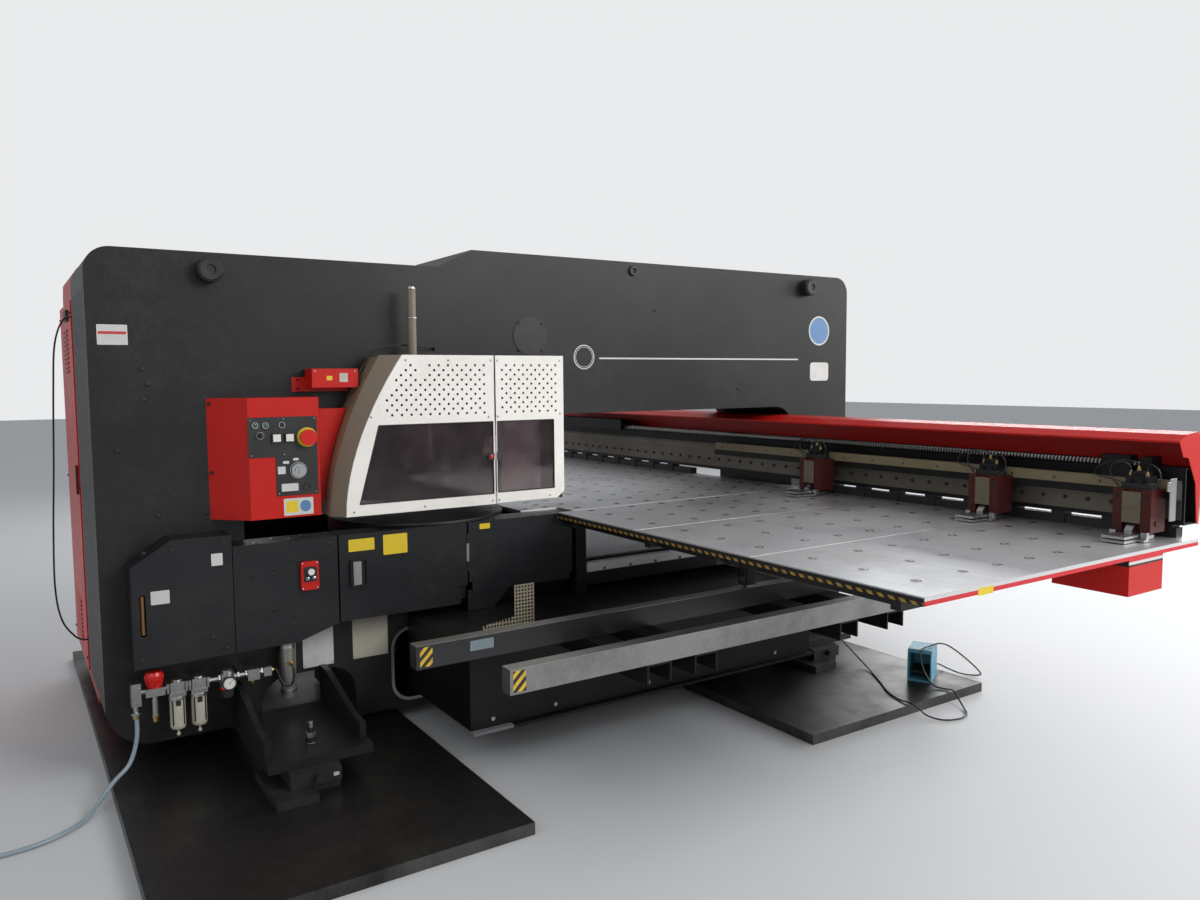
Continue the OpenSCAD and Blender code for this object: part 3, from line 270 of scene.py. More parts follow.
def maths(tree, operation, a, b=0.0):
    made = tree.nodes.new("ShaderNodeMath")
    made.operation = operation
    feed(tree, made.inputs[0], a)
    feed(tree, made.inputs[1], b)
    return made.outputs[0]


def object_place(tree):
    return tree.nodes.new("ShaderNodeTexCoord").outputs["Object"]


def noise(tree, where, scale, detail, rough=0.5):
    made = node_in(tree, "ShaderNodeTexNoise", Detail=detail, Roughness=rough)
    feed(tree, made.inputs["Vector"], where)
    feed(tree, made.inputs["Scale"], scale)
    return made.outputs["Fac"]


def swung(tree, base, swing, depth):
    """The base value, moved up and down by a noise of that depth."""
    return maths(tree, "ADD", base, maths(tree, "MULTIPLY", maths(tree, "SUBTRACT", swing, 0.5), depth))


wear, w_in, w_end = new_group("wear", [
    ("Paint", "NodeSocketColor", (0.02, 0.02, 0.02, 1)), ("Dust", "NodeSocketColor", (0.2, 0.19, 0.17, 1)),
    ("Dust Amount", "NodeSocketFloat", 0.3), ("Size", "NodeSocketFloat", 3.0),
    ("Rough", "NodeSocketFloat", 0.45), ("Grain", "NodeSocketFloat", 400.0)],
    [("Color", "NodeSocketColor"), ("Roughness", "NodeSocketFloat"), ("Height", "NodeSocketFloat")])
place = object_place(wear)
clouds = noise(wear, place, w_in.outputs["Size"], 8.0, 0.62)
streaks = noise(wear, place, 26.0, 5.0, 0.7)
patch = maths(wear, "MULTIPLY", ranged(wear, clouds, 0.42, 0.7), ranged(wear, streaks, 0.35, 0.65, 0.35))
amount = maths(wear, "MULTIPLY", patch, w_in.outputs["Dust Amount"])
feed(wear, w_end.inputs["Color"], mixed(wear, amount, w_in.outputs["Paint"], w_in.outputs["Dust"]))
feed(wear, w_end.inputs["Roughness"], swung(wear, w_in.outputs["Rough"], streaks, 0.25))
feed(wear, w_end.inputs["Height"], noise(wear, place, w_in.outputs["Grain"], 2.0))
print("wear group with", len(wear.nodes), "nodes")

# %% [markdown]
# Bare steel is different: its colour hardly changes, but it is full of fine scratches that run one way. A second
# group stretches noise along one axis and adds darker rubbed patches.

# %% Rubbed metal group
rub, r_in, r_end = new_group("rubbed_metal", [
    ("Metal", "NodeSocketColor", (0.5, 0.5, 0.5, 1)), ("Stain", "NodeSocketColor", (0.2, 0.18, 0.16, 1)),
    ("Stain Amount", "NodeSocketFloat", 0.3), ("Rough", "NodeSocketFloat", 0.35),
    ("Lay", "NodeSocketVector", (4.0, 220.0, 4.0))],
    [("Color", "NodeSocketColor"), ("Roughness", "NodeSocketFloat"), ("Height", "NodeSocketFloat")])
place = object_place(rub)
stretch = rub.nodes.new("ShaderNodeVectorMath")
stretch.operation = "MULTIPLY"
feed(rub, stretch.inputs[0], place)
feed(rub, stretch.inputs[1], r_in.outputs["Lay"])
lines = noise(rub, stretch.outputs[0], 1.0, 6.0, 0.7)
blots = noise(rub, place, 2.3, 9.0, 0.68)
stain = maths(rub, "MULTIPLY", ranged(rub, blots, 0.44, 0.68), r_in.outputs["Stain Amount"])
streaked = mixed(rub, ranged(rub, lines, 0.35, 0.7, 0.0, 0.28), r_in.outputs["Metal"], r_in.outputs["Stain"])
feed(rub, r_end.inputs["Color"], mixed(rub, stain, streaked, r_in.outputs["Stain"]))
feed(rub, r_end.inputs["Roughness"], swung(rub, r_in.outputs["Rough"], blots, 0.5))
feed(rub, r_end.inputs["Height"], lines)
print("rubbed metal group with", len(rub.nodes), "nodes")

# %% Finish makers
def shader_start(name):
    mat = bpy.data.materials.new(name)
    mat.use_nodes = True
    return mat, mat.node_tree, mat.node_tree.nodes["Principled BSDF"]


def bumped(tree, shader, height, strength, distance):
    bump = node_in(tree, "ShaderNodeBump", Strength=strength, Distance=distance)
    tree.links.new(height, bump.inputs["Height"])
    tree.links.new(bump.outputs["Normal"], shader.inputs["Normal"])


PEEL_DEPTH, GROOVE_DEPTH = 0.0012, 0.0006


def group_finish(name, source, values, strength, depth):
    """Material whose colour, roughness and bump come from one node group."""
    mat, tree, shader = shader_start(name)
    group = tree.nodes.new("ShaderNodeGroup")
    group.node_tree = source
    for key, value in values.items():
        group.inputs[key].default_value = value
    tree.links.new(group.outputs["Color"], shader.inputs["Base Color"])
    tree.links.new(group.outputs["Roughness"], shader.inputs["Roughness"])
    bumped(tree, shader, group.outputs["Height"], strength, depth)
    return mat, shader


def enamel(name, paint, dust=(0.16, 0.15, 0.14), dusty=0.3, size=3.0, rough=0.45, grain=420.0, peel=0.25,
           shine=0.5):
    values = {"Paint": (*paint, 1), "Dust": (*dust, 1), "Dust Amount": dusty, "Size": size, "Rough": rough,
              "Grain": grain}
    mat, shader = group_finish(name, wear, values, peel, PEEL_DEPTH)
    shader.inputs["Specular IOR Level"].default_value = shine
    return mat


def bare_metal(name, metal, stain=(0.2, 0.18, 0.16), stained=0.3, rough=0.35, lay=(4, 220, 4), groove=0.12,
               metallic=1.0):
    values = {"Metal": (*metal, 1), "Stain": (*stain, 1), "Stain Amount": stained, "Rough": rough, "Lay": lay}
    mat, shader = group_finish(name, rub, values, groove, GROOVE_DEPTH)
    shader.inputs["Metallic"].default_value = metallic
    return mat


MACHINE_RED = (0.56, 0.012, 0.007)
frame_black = enamel("frame_enamel", (0.011, 0.011, 0.012), (0.045, 0.042, 0.04), 0.5, 1.6, 0.42, 260.0, 0.5,
                     0.34)
cover_black = enamel("cover_enamel", (0.011, 0.0115, 0.014), (0.04, 0.038, 0.036), 0.45, 3.0, 0.38, 420.0, 0.3,
                     0.34)
beam_black = enamel("beam_enamel", (0.006, 0.006, 0.006), (0.03, 0.027, 0.024), 0.4, 4.0, 0.45, shine=0.25)
outrigger_black = enamel("outrigger_enamel", (0.006, 0.006, 0.006), (0.03, 0.027, 0.024), 0.4, 4.0,
                         shine=0.25)
cover_red = enamel("red_enamel", MACHINE_RED, (0.26, 0.02, 0.018), 0.3, 3.0, 0.36, shine=0.3)
# The hood's side gets a darker warm grey: painted shade on the cream sheet where it faces away from the light.
hood_shaded_grey = enamel("hood_painted_shade_grey", (0.26, 0.205, 0.135), (0.13, 0.105, 0.08), 0.3, 3.0, 0.42, shine=0.3)
post_khaki = enamel("khaki_enamel", (0.19, 0.165, 0.12), (0.1, 0.09, 0.07), 0.4, 4.0, 0.42)
boss_black = enamel("boss_black", (0.012, 0.012, 0.012), (0.05, 0.05, 0.05), 0.4, 5.0, 0.5)
dull_black = enamel("dull_plastic", (0.013, 0.013, 0.014), (0.08, 0.08, 0.075), 0.25, 8.0, 0.5, 700.0, 0.15)
soft_rubber = enamel("soft_rubber", (0.011, 0.011, 0.011), (0.09, 0.085, 0.08), 0.35, 12.0, 0.62, 900.0, 0.2)
machined = bare_metal("machined_steel", (0.56, 0.56, 0.55))
guide_steel = bare_metal("guide_steel", (0.86, 0.85, 0.84), (0.4, 0.38, 0.36), 0.3, 0.5, (120, 4, 120), 0.1,
                         0.5)
table_metal = bare_metal("table_steel", (0.93, 0.94, 0.96), (0.45, 0.42, 0.4), 0.45, 0.46, (3, 90, 3), 0.1)
cast_metal = bare_metal("cast_iron", (0.16, 0.155, 0.15), (0.05, 0.05, 0.05), 0.4, 0.5, (60, 60, 60), 0.3)
bright_metal = bare_metal("bright_chrome", (0.72, 0.72, 0.72), (0.4, 0.4, 0.4), 0.1, 0.16, (80, 80, 80), 0.03)
air_metal = bare_metal("air_fittings", (0.5, 0.5, 0.49), (0.2, 0.19, 0.17), 0.35, 0.36, (90, 90, 90), 0.1)
plate_steel = bare_metal("floor_plate_steel", (0.13, 0.125, 0.12), (0.03, 0.028, 0.027), 0.8, 0.42, (5, 70, 5),
                         0.3)
beam_steel = bare_metal("beam_steel", (0.17, 0.155, 0.125), (0.06, 0.05, 0.04), 0.5, 0.45, (3, 120, 120), 0.1,
                        0.6)
clamp_front = enamel("clamp_front_beige", (0.16, 0.135, 0.09), (0.08, 0.07, 0.05), 0.4, 14.0, 0.42, shine=0.3)
button_red = enamel("button_red", (0.62, 0.015, 0.012), (0.3, 0.02, 0.02), 0.1, 20.0, 0.22, 900.0, 0.02)
button_white = enamel("button_white", (0.78, 0.77, 0.72), (0.5, 0.48, 0.44), 0.2, 20.0, 0.25, 900.0, 0.02)
switch_blue = enamel("switch_blue", (0.09, 0.3, 0.43), (0.05, 0.12, 0.16), 0.5, 14.0, 0.42, 500.0, 0.3)
clamp_red = enamel("clamp_maroon", (0.075, 0.014, 0.012), (0.03, 0.014, 0.012), 0.4, 12.0, 0.4, shine=0.25)
print("finishes:", len(bpy.data.materials))

# %% [markdown]
# ## Finishes that change by place
# The hood is folded from one sheet of cream enamel. Its bevel, and the side piece beside it, get a darker warm
# grey:
# painted shade for the faces turned from the light. Such a finish reads the object coordinates, finds the place
# and mixes the other colour in, so no extra sheet has to be glued on. The windows are tinted polycarbonate.

# %% Place helpers
FAR = 99.0


def placed(tree):
    """Coordinate sockets X, Y, Z of the point in the machine's own frame."""
    split = tree.nodes.new("ShaderNodeSeparateXYZ")
    feed(tree, split.inputs[0], object_place(tree))
    return split.outputs


def between(tree, value, low, high):
    return maths(tree, "MULTIPLY", maths(tree, "GREATER_THAN", value, low), maths(tree, "LESS_THAN", value, high))


def region(**spans):
    """Factor that is 1 where x, y, z, or side for the distance from the middle, lie in their spans."""
    def factor(tree):
        spot = placed(tree)
        value = {"x": spot["X"], "y": spot["Y"], "z": spot["Z"], "side": maths(tree, "ABSOLUTE", spot["X"])}
        found = 1.0
        for key, (low, high) in spans.items():
            found = maths(tree, "MULTIPLY", found, between(tree, value[key], low, high))
        return found
    return factor


def recoloured(mat, factor_of, colour, metal=None):
    """Mixes a colour, or the socket that colour(tree) makes, into the finish where factor_of(tree) is 1."""
    tree = mat.node_tree
    shader = tree.nodes["Principled BSDF"]
    factor = factor_of(tree)
    now = shader.inputs["Base Color"].links[0].from_socket
    new = colour(tree) if callable(colour) else (*colour, 1)
    feed(tree, shader.inputs["Base Color"], mixed(tree, factor, now, new))
    if metal is not None:
        base = shader.inputs["Metallic"]
        start = base.links[0].from_socket if base.is_linked else base.default_value
        feed(tree, base, mixed(tree, factor, start, metal, "FLOAT"))


print("place helpers ready")

# %% Hood and window finishes
hood_front = enamel("hood_cream_enamel", (0.88, 0.85, 0.8), (0.42, 0.38, 0.32), 0.25, 4.0, 0.36, 500.0, 0.12)
# Painted shade: the bevel at the left of the hood front gets a darker warm grey in place of the cream.
recoloured(hood_front, lambda t: maths(t, "MULTIPLY", ranged(t, placed(t)["X"], 0.5462, 0.5472, 1.0, 0.0),
                                       ranged(t, placed(t)["Y"], -0.489, -0.488, 1.0, 0.0)),
           (0.22, 0.178, 0.13))
tinted, tree, shader = shader_start("tinted_window")
shader.inputs["Transmission Weight"].default_value = 0.9
shader.inputs["IOR"].default_value = 1.45
smears = noise(tree, object_place(tree), 9.0, 7.0)
feed(tree, shader.inputs["Roughness"], ranged(tree, smears, 0.3, 0.8, 0.03, 0.22))
feed(tree, shader.inputs["Base Color"],
     mixed(tree, ranged(tree, smears, 0.4, 0.75), (0.17, 0.11, 0.12, 1), (0.26, 0.18, 0.18, 1)))
print("hood and window finishes made")

# %% Paint the CAD nodes
def paint(finish, *names):
    for name in names:
        mesh = nodes[name].data
        mesh.materials.clear()
        mesh.materials.append(finish)


PAINTED = {
    frame_black: ["frame_plates", "frame_webs"], boss_black: ["frame_fittings", "level_mounts"],
    cover_red: ["cabinet", "cabinet_door", "operator_boxes", "beam_cover"],
    dull_black: ["cabinet_handle", "control_panel", "key_switch", "regulator_knob"],
    hood_shaded_grey: ["hood_side"], post_khaki: ["guide_post"],
    hood_front: ["hood_cover", "hood_door"], tinted: ["hood_window", "hood_door_window"],
    cover_black: ["lower_covers", "access_door", "foot_brackets"],
    outrigger_black: ["outriggers"], beam_black: ["cross_beam", "carriage_bar"],
    table_metal: ["centre_table", "table_panels"],
    beam_steel: ["x_guides"], cast_metal: ["upper_turret", "lower_turret"],
    machined: ["press_head", "striker", "door_latch", "jaw_a", "jaw_b", "jaw_c", "roller_right",
               "roller_left"],
    plate_steel: ["floor_plates"], air_metal: ["air_manifold"],
    button_red: ["stop_button", "valve_knob"],
    button_white: ["push_button_a", "push_button_b", "station_button"],
    bright_metal: ["mode_selector", "hose_coupling"], guide_steel: ["y_guides"],
    clamp_red: ["clamp_a", "clamp_b", "clamp_c"],
    switch_blue: ["foot_switch"], soft_rubber: ["pedal"],
}
for finish, names in PAINTED.items():
    paint(finish, *names)
print("painted", sum(len(v) for v in PAINTED.values()), "nodes")

# %% [markdown]
# ## Cords
# An air hose drops from the inlet to the floor and runs off to a coil. A thin cord lies in loose loops round the
# foot switch, and a cable hangs down the cabinet. Each is one spline with a round section along a smooth curve
# through the points where the real one lies.

# %% Cord routes
def through(points, parts):
    """Smooth curve through the points, with that many parts between two of them."""
    pts = [Vector(p) for p in points]
    out = []
    for i in range(len(pts) - 1):
        a, b, c, d = pts[max(i - 1, 0)], pts[i], pts[i + 1], pts[min(i + 2, len(pts) - 1)]
        for j in range(parts):
            t = j / parts
            out.append(0.5 * (2 * b + (c - a) * t + (2 * a - 5 * b + 4 * c - d) * t * t
                              + (3 * b - a - 3 * c + d) * t ** 3))
    return out + [pts[-1]]


def cord_piece(name, line, r, finish):
    data = bpy.data.curves.new(name, "CURVE")
    data.dimensions = "3D"
    data.bevel_depth = r
    data.bevel_resolution = 5
    data.use_fill_caps = True
    run = data.splines.new("POLY")
    run.points.add(len(line) - 1)
    for p, at in zip(run.points, line):
        p.co = (*at, 1)
    run.use_smooth = True
    data.materials.append(finish)
    obj = shown(name, data)
    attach(obj, "machine")
    made_pieces.append((name, len(line) * 12))
    return obj


def run_length(line):
    return sum((b - a).length for a, b in zip(line, line[1:]))


SWITCH_TURN = math.radians(28)


def at_switch(x, y, z):
    """A point of the foot switch, given in its own frame, in the machine's frame."""
    c, s = math.cos(SWITCH_TURN), math.sin(SWITCH_TURN)
    return (1.403 + x * c - y * s, 1.5 + x * s + y * c, 0.045 + z)


hose_skin = enamel("hose_skin", (0.27, 0.34, 0.38), (0.12, 0.14, 0.15), 0.35, 18.0, 0.34, 600.0, 0.06)
cord_skin = enamel("cord_skin", (0.012, 0.012, 0.013), (0.06, 0.06, 0.06), 0.3, 20.0, 0.42, 900.0, 0.05)

COIL = Vector((0.842, -2.64, 0))
turns = []
for i in range(1, 64):
    a = 180 + 1260 * i / 63
    out_r = 0.0905 if a < 560 or a > 1130 else 0.0745
    if a < 250:
        out_r = 0.082 + 0.0085 * (a - 180) / 70
    if 520 < a < 600:
        out_r = 0.0905 - 0.016 * (a - 520) / 80
    if 1090 < a < 1170:
        out_r = 0.0745 + 0.016 * (a - 1090) / 80
    up = 0.0085 if a < 860 else min(0.0245, 0.0085 + 0.016 * (a - 860) / 90)
    turns.append(COIL + Vector((out_r * math.cos(math.radians(a)), out_r * math.sin(math.radians(a)), up)))
hose_run = through([(0.43, -2.008, 0.304), (0.43, -2.01, 0.2), (0.445, -2.04, 0.11), (0.49, -2.1, 0.07),
                    (0.56, -2.16, 0.03), (0.63, -2.205, 0.0105), (0.69, -2.26, 0.0095), (0.735, -2.33, 0.009),
                    (0.757, -2.41, 0.0088), (0.76, -2.5, 0.0086), (0.76, -2.58, 0.0085)], 6)
hose_run += through([(0.76, -2.64, 0.0085), *turns], 2)
hose_run += [Vector((0.932, -2.622, 0.0235)), Vector((0.93, -2.608, 0.021)),
             Vector((0.927, -2.594, 0.0175))]
print("hose", round(run_length(hose_run), 3), "m")

# %% Hose and cord pieces
air_line = cord_piece("air_line", hose_run, 0.008, hose_skin)
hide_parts("air_hose", "hose_coil")

switch_run = through([at_switch(0.03, 0.0895, 0.035), at_switch(0.03, 0.1285, 0.035), (1.372, 1.675, 0.072),
                      (1.392, 1.725, 0.045), (1.425, 1.785, 0.016), (1.465, 1.835, 0.007), (1.505, 1.845, 0.02),
                      (1.515, 1.8, 0.06), (1.498, 1.74, 0.115), (1.478, 1.68, 0.165), (1.46, 1.62, 0.205),
                      (1.452, 1.56, 0.221), (1.448, 1.5, 0.217), (1.453, 1.445, 0.217), (1.466, 1.4, 0.2),
                      (1.488, 1.384, 0.15), (1.515, 1.388, 0.096), (1.55, 1.404, 0.056), (1.595, 1.424, 0.051),
                      (1.642, 1.428, 0.052), (1.695, 1.402, 0.022), (1.745, 1.366, 0.007),
                      (1.793, 1.315, 0.006), (1.806, 1.24, 0.006), (1.772, 1.165, 0.006), (1.712, 1.13, 0.016),
                      (1.668, 1.12, 0.042), (1.625, 1.116, 0.053), (1.57, 1.118, 0.05), (1.47, 1.158, 0.05),
                      (1.34, 1.25, 0.05), (1.2, 1.345, 0.052), (1.105, 1.385, 0.072), (1.052, 1.362, 0.125),
                      (1.012, 1.292, 0.212), (0.982, 1.222, 0.308), (0.958, 1.165, 0.385), (0.95, 1.117, 0.4)],
                     6)
switch_lead = cord_piece("switch_lead", switch_run, 0.004, cord_skin)
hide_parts("switch_cord")
CABLE_X = -0.47
cable_run = through([(CABLE_X, -2.074, 1.88), (CABLE_X, -2.13, 1.87), (CABLE_X, -2.17, 1.76),
                     (CABLE_X, -2.185, 1.55), (CABLE_X, -2.2, 1.2), (CABLE_X, -2.215, 0.9),
                     (CABLE_X, -2.22, 0.65), (CABLE_X, -2.2, 0.5), (CABLE_X, -2.15, 0.415),
                     (CABLE_X, -2.11, 0.395), (CABLE_X, -2.074, 0.394)], 6)
cabinet_line = cord_piece("cabinet_line", cable_run, 0.004, cord_skin)
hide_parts("cabinet_cable")
print("switch cord", round(run_length(switch_run), 3), "m, cabinet cable", round(run_length(cable_run), 3), "m")

# %% [markdown]
# ## Finishes that carry marks
# Hazard stripes, painted ends and the wear on a rail belong to one place of a large piece, so its finish is
# recoloured there.

# %% Placed marks
HAZARD_YELLOW, HAZARD_BLACK = (0.75, 0.46, 0.02), (0.02, 0.02, 0.02)
stripes, s_in, s_end = new_group("hazard_stripes", [
    ("Light", "NodeSocketColor", (*HAZARD_YELLOW, 1)), ("Along", "NodeSocketFloat", 0.0),
    ("Up", "NodeSocketFloat", 0.0), ("Pitch", "NodeSocketFloat", 0.04)], [("Color", "NodeSocketColor")])
lean = maths(stripes, "DIVIDE", maths(stripes, "ADD", s_in.outputs["Along"], s_in.outputs["Up"]),
             s_in.outputs["Pitch"])
second = maths(stripes, "GREATER_THAN", maths(stripes, "FRACT", lean), 0.5)
scuffs = noise(stripes, object_place(stripes), 60.0, 4.0)
worn = mixed(stripes, ranged(stripes, scuffs, 0.5, 0.75, 0.0, 0.6), s_in.outputs["Light"],
             (0.12, 0.1, 0.08, 1))
feed(stripes, s_end.inputs["Color"], mixed(stripes, second, worn, (*HAZARD_BLACK, 1)))


def striped(light, along, lean_way, pitch):
    """Colour of slanted hazard stripes that follow one another along an axis."""
    def colour(tree):
        made = tree.nodes.new("ShaderNodeGroup")
        made.node_tree = stripes
        for key, value in (("Light", (*light, 1)), ("Pitch", pitch), ("Along", placed(tree)[along]),
                           ("Up", maths(tree, "MULTIPLY", placed(tree)["Z"], lean_way))):
            feed(tree, made.inputs[key], value)
        return made.outputs["Color"]
    return colour


rail_finish = bare_metal("rail_pair", (0.34, 0.335, 0.33), (0.1, 0.1, 0.1), 0.5, 0.42, (3, 90, 60), 0.1)
recoloured(rail_finish, region(side=(1.0, 1.3)), (0.02, 0.02, 0.022), 0.0)
recoloured(rail_finish, region(z=(0.5985, FAR)), (0.42, 0.41, 0.39), 1.0)
for x, y in ((1.1795, -1.135), (1.6195, -0.978)):
    recoloured(rail_finish, region(x=(x, x + 0.0205), y=(y, y + 0.05), z=(0.518, 0.592)),
               striped(HAZARD_YELLOW, "Y", -1.0, 0.038), 0.0)

table_under = enamel("table_underside", (0.018, 0.017, 0.017), (0.05, 0.045, 0.04), 0.4, 4.0, shine=0.3)
SKIRT_Y, SKIRT_X = (-FAR, -0.1224), (2.6223, FAR)
recoloured(table_under, region(y=SKIRT_Y, z=(0.87, 0.89)), (0.045, 0.035, 0.028))
recoloured(table_under, region(y=SKIRT_Y, z=(0.889, 0.913)), striped((0.42, 0.24, 0.035), "X", 1.0, 0.042))
recoloured(table_under, region(side=SKIRT_X, z=(0.884, 0.94)), (0.62, 0.62, 0.62))
recoloured(table_under, region(side=SKIRT_X, z=(0.895, 0.917)), (0.62, 0.025, 0.035))
recoloured(table_under, region(side=(2.32, FAR), y=(1.055, 1.315), z=(-FAR, 0.8765)), MACHINE_RED)
recoloured(outrigger_black, region(y=(-0.86, -0.667), z=(0.137, 0.1502)), (0.2, 0.2, 0.21))
recoloured(clamp_red, region(z=(-FAR, 0.9485)), (0.42, 0.41, 0.4), 1.0)
recoloured(clamp_red, region(z=(1.1335, FAR)), (0.012, 0.012, 0.013))

SCREW_Y, SCREW_Z, SCREW_PITCH = 1.478, 1.225, 0.016
thread_steel = bare_metal("thread_steel", (0.42, 0.41, 0.39), (0.08, 0.07, 0.06), 0.3, 0.3, (80, 80, 80), 0.05)
tree = thread_steel.node_tree
coords = placed(tree)
around = maths(tree, "DIVIDE", maths(tree, "ARCTAN2", maths(tree, "SUBTRACT", coords["Z"], SCREW_Z),
                                     maths(tree, "SUBTRACT", coords["Y"], SCREW_Y)), 2 * math.pi)
along = maths(tree, "DIVIDE", coords["X"], SCREW_PITCH)
groove = maths(tree, "PINGPONG", maths(tree, "ADD", along, around), 0.5)
# Painted shade: the bottom of the helical groove is darkened where the thread flanks shade it.
recoloured(thread_steel, lambda t: maths(t, "LESS_THAN", groove, 0.2), (0.04, 0.036, 0.032))
bumped(tree, tree.nodes["Principled BSDF"], ranged(tree, groove, 0.12, 0.3), 0.9, 0.004)
paint(rail_finish, "support_rails")
paint(table_under, "table_frames")
paint(thread_steel, "x_screw")
print("rails, table edges and screw marked")

# %% [markdown]
# ## Plain stickers and plates
# Labels on the machine are thin plates with rounded corners. They stay bare: only their fields of colour are
# kept, and a plate that is riveted on gets its rivets.

# %% Sticker helper
sticker_yellow = enamel("sticker_yellow", (0.78, 0.56, 0.02), (0.5, 0.36, 0.05), 0.3, 16.0, 0.4, 900.0, 0.03)
sticker_white = enamel("sticker_white", (0.62, 0.62, 0.6), (0.4, 0.38, 0.35), 0.35, 16.0, 0.4, 900.0, 0.03)
sticker_blue = enamel("sticker_blue", (0.1, 0.22, 0.42), (0.2, 0.27, 0.36), 0.3, 16.0, 0.4, 900.0, 0.03)
sticker_red = enamel("sticker_red", (0.55, 0.04, 0.05), (0.4, 0.1, 0.1), 0.3, 16.0, 0.4, 900.0, 0.03)
label_slate = enamel("label_slate", (0.17, 0.24, 0.26), (0.3, 0.32, 0.33), 0.5, 30.0, 0.4, 900.0, 0.03)
plate_white = enamel("plate_white", (0.6, 0.6, 0.6), (0.35, 0.34, 0.33), 0.4, 12.0, 0.45, 700.0, 0.04)
plate_cream = enamel("plate_cream", (0.46, 0.43, 0.35), (0.3, 0.27, 0.2), 0.4, 12.0, 0.45, 700.0, 0.04)
plate_pale = bare_metal("riveted_plate", (0.52, 0.5, 0.45), (0.3, 0.27, 0.22), 0.4, 0.5, (30, 30, 30), 0.05)


def sticker(name, x, y, z, finish, body="machine", thick=0.0006, r=0.003):
    add_plate(round_outline(x, y, z, r, 3), (thick, 0, 0))
    return finish_piece(name, finish, body)


FACE, COVER = 0.33, 0.47
PLATE_THICK, RIVET_IN = 0.0012, 0.008
INFO_PLATES = (("a", (-1.335, -1.2), (0.326, 0.512), plate_white),
               ("b", (-1.112, -0.948), (0.328, 0.532), plate_cream))
sticker("shoulder_label", FACE, (-2.07, -1.964), (1.731, 1.809), sticker_white)
sticker("shoulder_label_band", FACE + 0.0006, (-2.066, -1.968), (1.772, 1.783), sticker_red, thick=0.0003)
sticker("beam_line", FACE, (0.233, 1.681), (1.686, 1.694), sticker_white)
sticker("square_label", FACE, (1.785, 1.945), (1.56, 1.672), sticker_white, r=0.02)
for tag, y, z, finish in INFO_PLATES:
    sticker("info_plate_" + tag, FACE, y, z, finish, thick=PLATE_THICK)
sticker("near_cover_label_a", COVER, (-1.943, -1.876), (0.725, 0.778), sticker_white)
sticker("near_cover_label_b", COVER, (-1.719, -1.676), (0.852, 0.901), sticker_white)
sticker("door_label_a", COVER, (-1.163, -1.048), (0.846, 0.899), sticker_yellow, "access_door")
sticker("door_label_b", COVER, (-1.008, -0.896), (0.816, 0.905), sticker_yellow, "access_door")
sticker("far_cover_label", COVER, (-0.538, -0.484), (0.885, 0.91), sticker_yellow)
sticker("rail_label", 1.18, (-0.93, -0.83), (0.545, 0.585), label_slate)
sticker("mount_plate", 0.97, (-1.407, -1.385), (0.094, 0.108), plate_white)
sticker("table_end_label", 2.625, (0.14, 0.22), (0.898, 0.922), sticker_yellow, "table")
sticker("operator_label", COVER, (-1.429, -1.308), (1.028, 1.099), sticker_white)
sticker("operator_label_blue", COVER + 0.0006, (-1.362, -1.318), (1.04, 1.088), sticker_blue, thick=0.0003,
        r=0.02)
sticker("operator_label_yellow", COVER + 0.0006, (-1.42, -1.37), (1.04, 1.088), sticker_yellow, thick=0.0003)
print("plain labels placed")

# %% Round marks on the beam
add_knob([(0.08, 0.0006), (0.08, 0.0)], (FACE, 1.86, 1.866), OUT, 48)
finish_piece("round_sign_field", sticker_blue)
add_turned([(0.08, 0.0), (0.08, 0.0008), (0.089, 0.0008), (0.089, 0.0)], (FACE, 1.86, 1.866), OUT, 48)
add_turned([(0.058, 0.0), (0.058, 0.0007), (0.063, 0.0007), (0.063, 0.0)], (FACE, 0.14, 1.696), OUT, 48)
add_turned([(0.05, 0.0), (0.05, 0.0007), (0.0525, 0.0007), (0.0525, 0.0)], (FACE, 0.14, 1.696), OUT, 48)
finish_piece("round_marks", sticker_white)
print("round marks placed")

# %% [markdown]
# ## Bolts and screws
# Cap screws hold the covers. One helper turns a head with a chamfered rim and a round socket sunk in it. It is
# called for every place, and the heads of one group are one piece.

# %% Cap screws
def add_cap_screw(at, axis, r, h, sides=20):
    add_knob([(0.45 * r, 0.55 * h), (0.5 * r, h), (0.88 * r, h), (r, 0.84 * h), (r, 0.0)], at, axis, sides)


def add_button_screw(at, axis, r, h, sides=14):
    add_knob([(0.35 * r, 0.7 * h), (0.4 * r, h), (0.7 * r, 0.85 * h), (r, 0.2 * h), (r, 0.0)], at, axis, sides)


def add_screws(head, x, spots, *sizes):
    """Heads that look out of the machine's side, at the (y, z) spots of the plane X = x."""
    for y, z in spots:
        head((x, y, z), OUT, *sizes)


add_screws(add_button_screw, 0.333, ((-0.239, 1.862), (-0.109, 1.862), (-0.239, 1.73), (-0.109, 1.73)), 0.01,
           0.003)
add_screws(add_button_screw, FACE,
           ((-1.922, 1.638), (-1.92, 1.516), (-1.903, 1.579), (-1.886, 1.052), (-1.7, 1.05), (0.02, 0.62),
            (-2.02, 1.32), (-1.95, 0.32), (1.78, 0.4), (1.95, 1.1), (1.2, 1.52), (0.6, 1.95)), 0.011, 0.005)
finish_piece("frame_screws", boss_black)
for y, z in ((-1.661, 2.033), (1.735, 2.122)):
    add_turned([(0.0, -0.004), (0.018, -0.004), (0.02, 0.003), (0.04, 0.004), (0.044, 0.0), (0.0, -0.006)],
               (0.39, y, z), OUT, 36)
add_knob([(0.012, 0.006), (0.014, 0.014), (0.024, 0.014), (0.028, 0.0)], (FACE, 0.45, 2.152), OUT, 24)
finish_piece("boss_caps", boss_black)
add_screws(add_button_screw, COVER,
           ((-1.96, 0.93), (-1.67, 0.94), (-1.67, 0.51), (-1.98, 0.51), (-1.725, 0.561), (-1.86, 0.93)), 0.008,
           0.004)
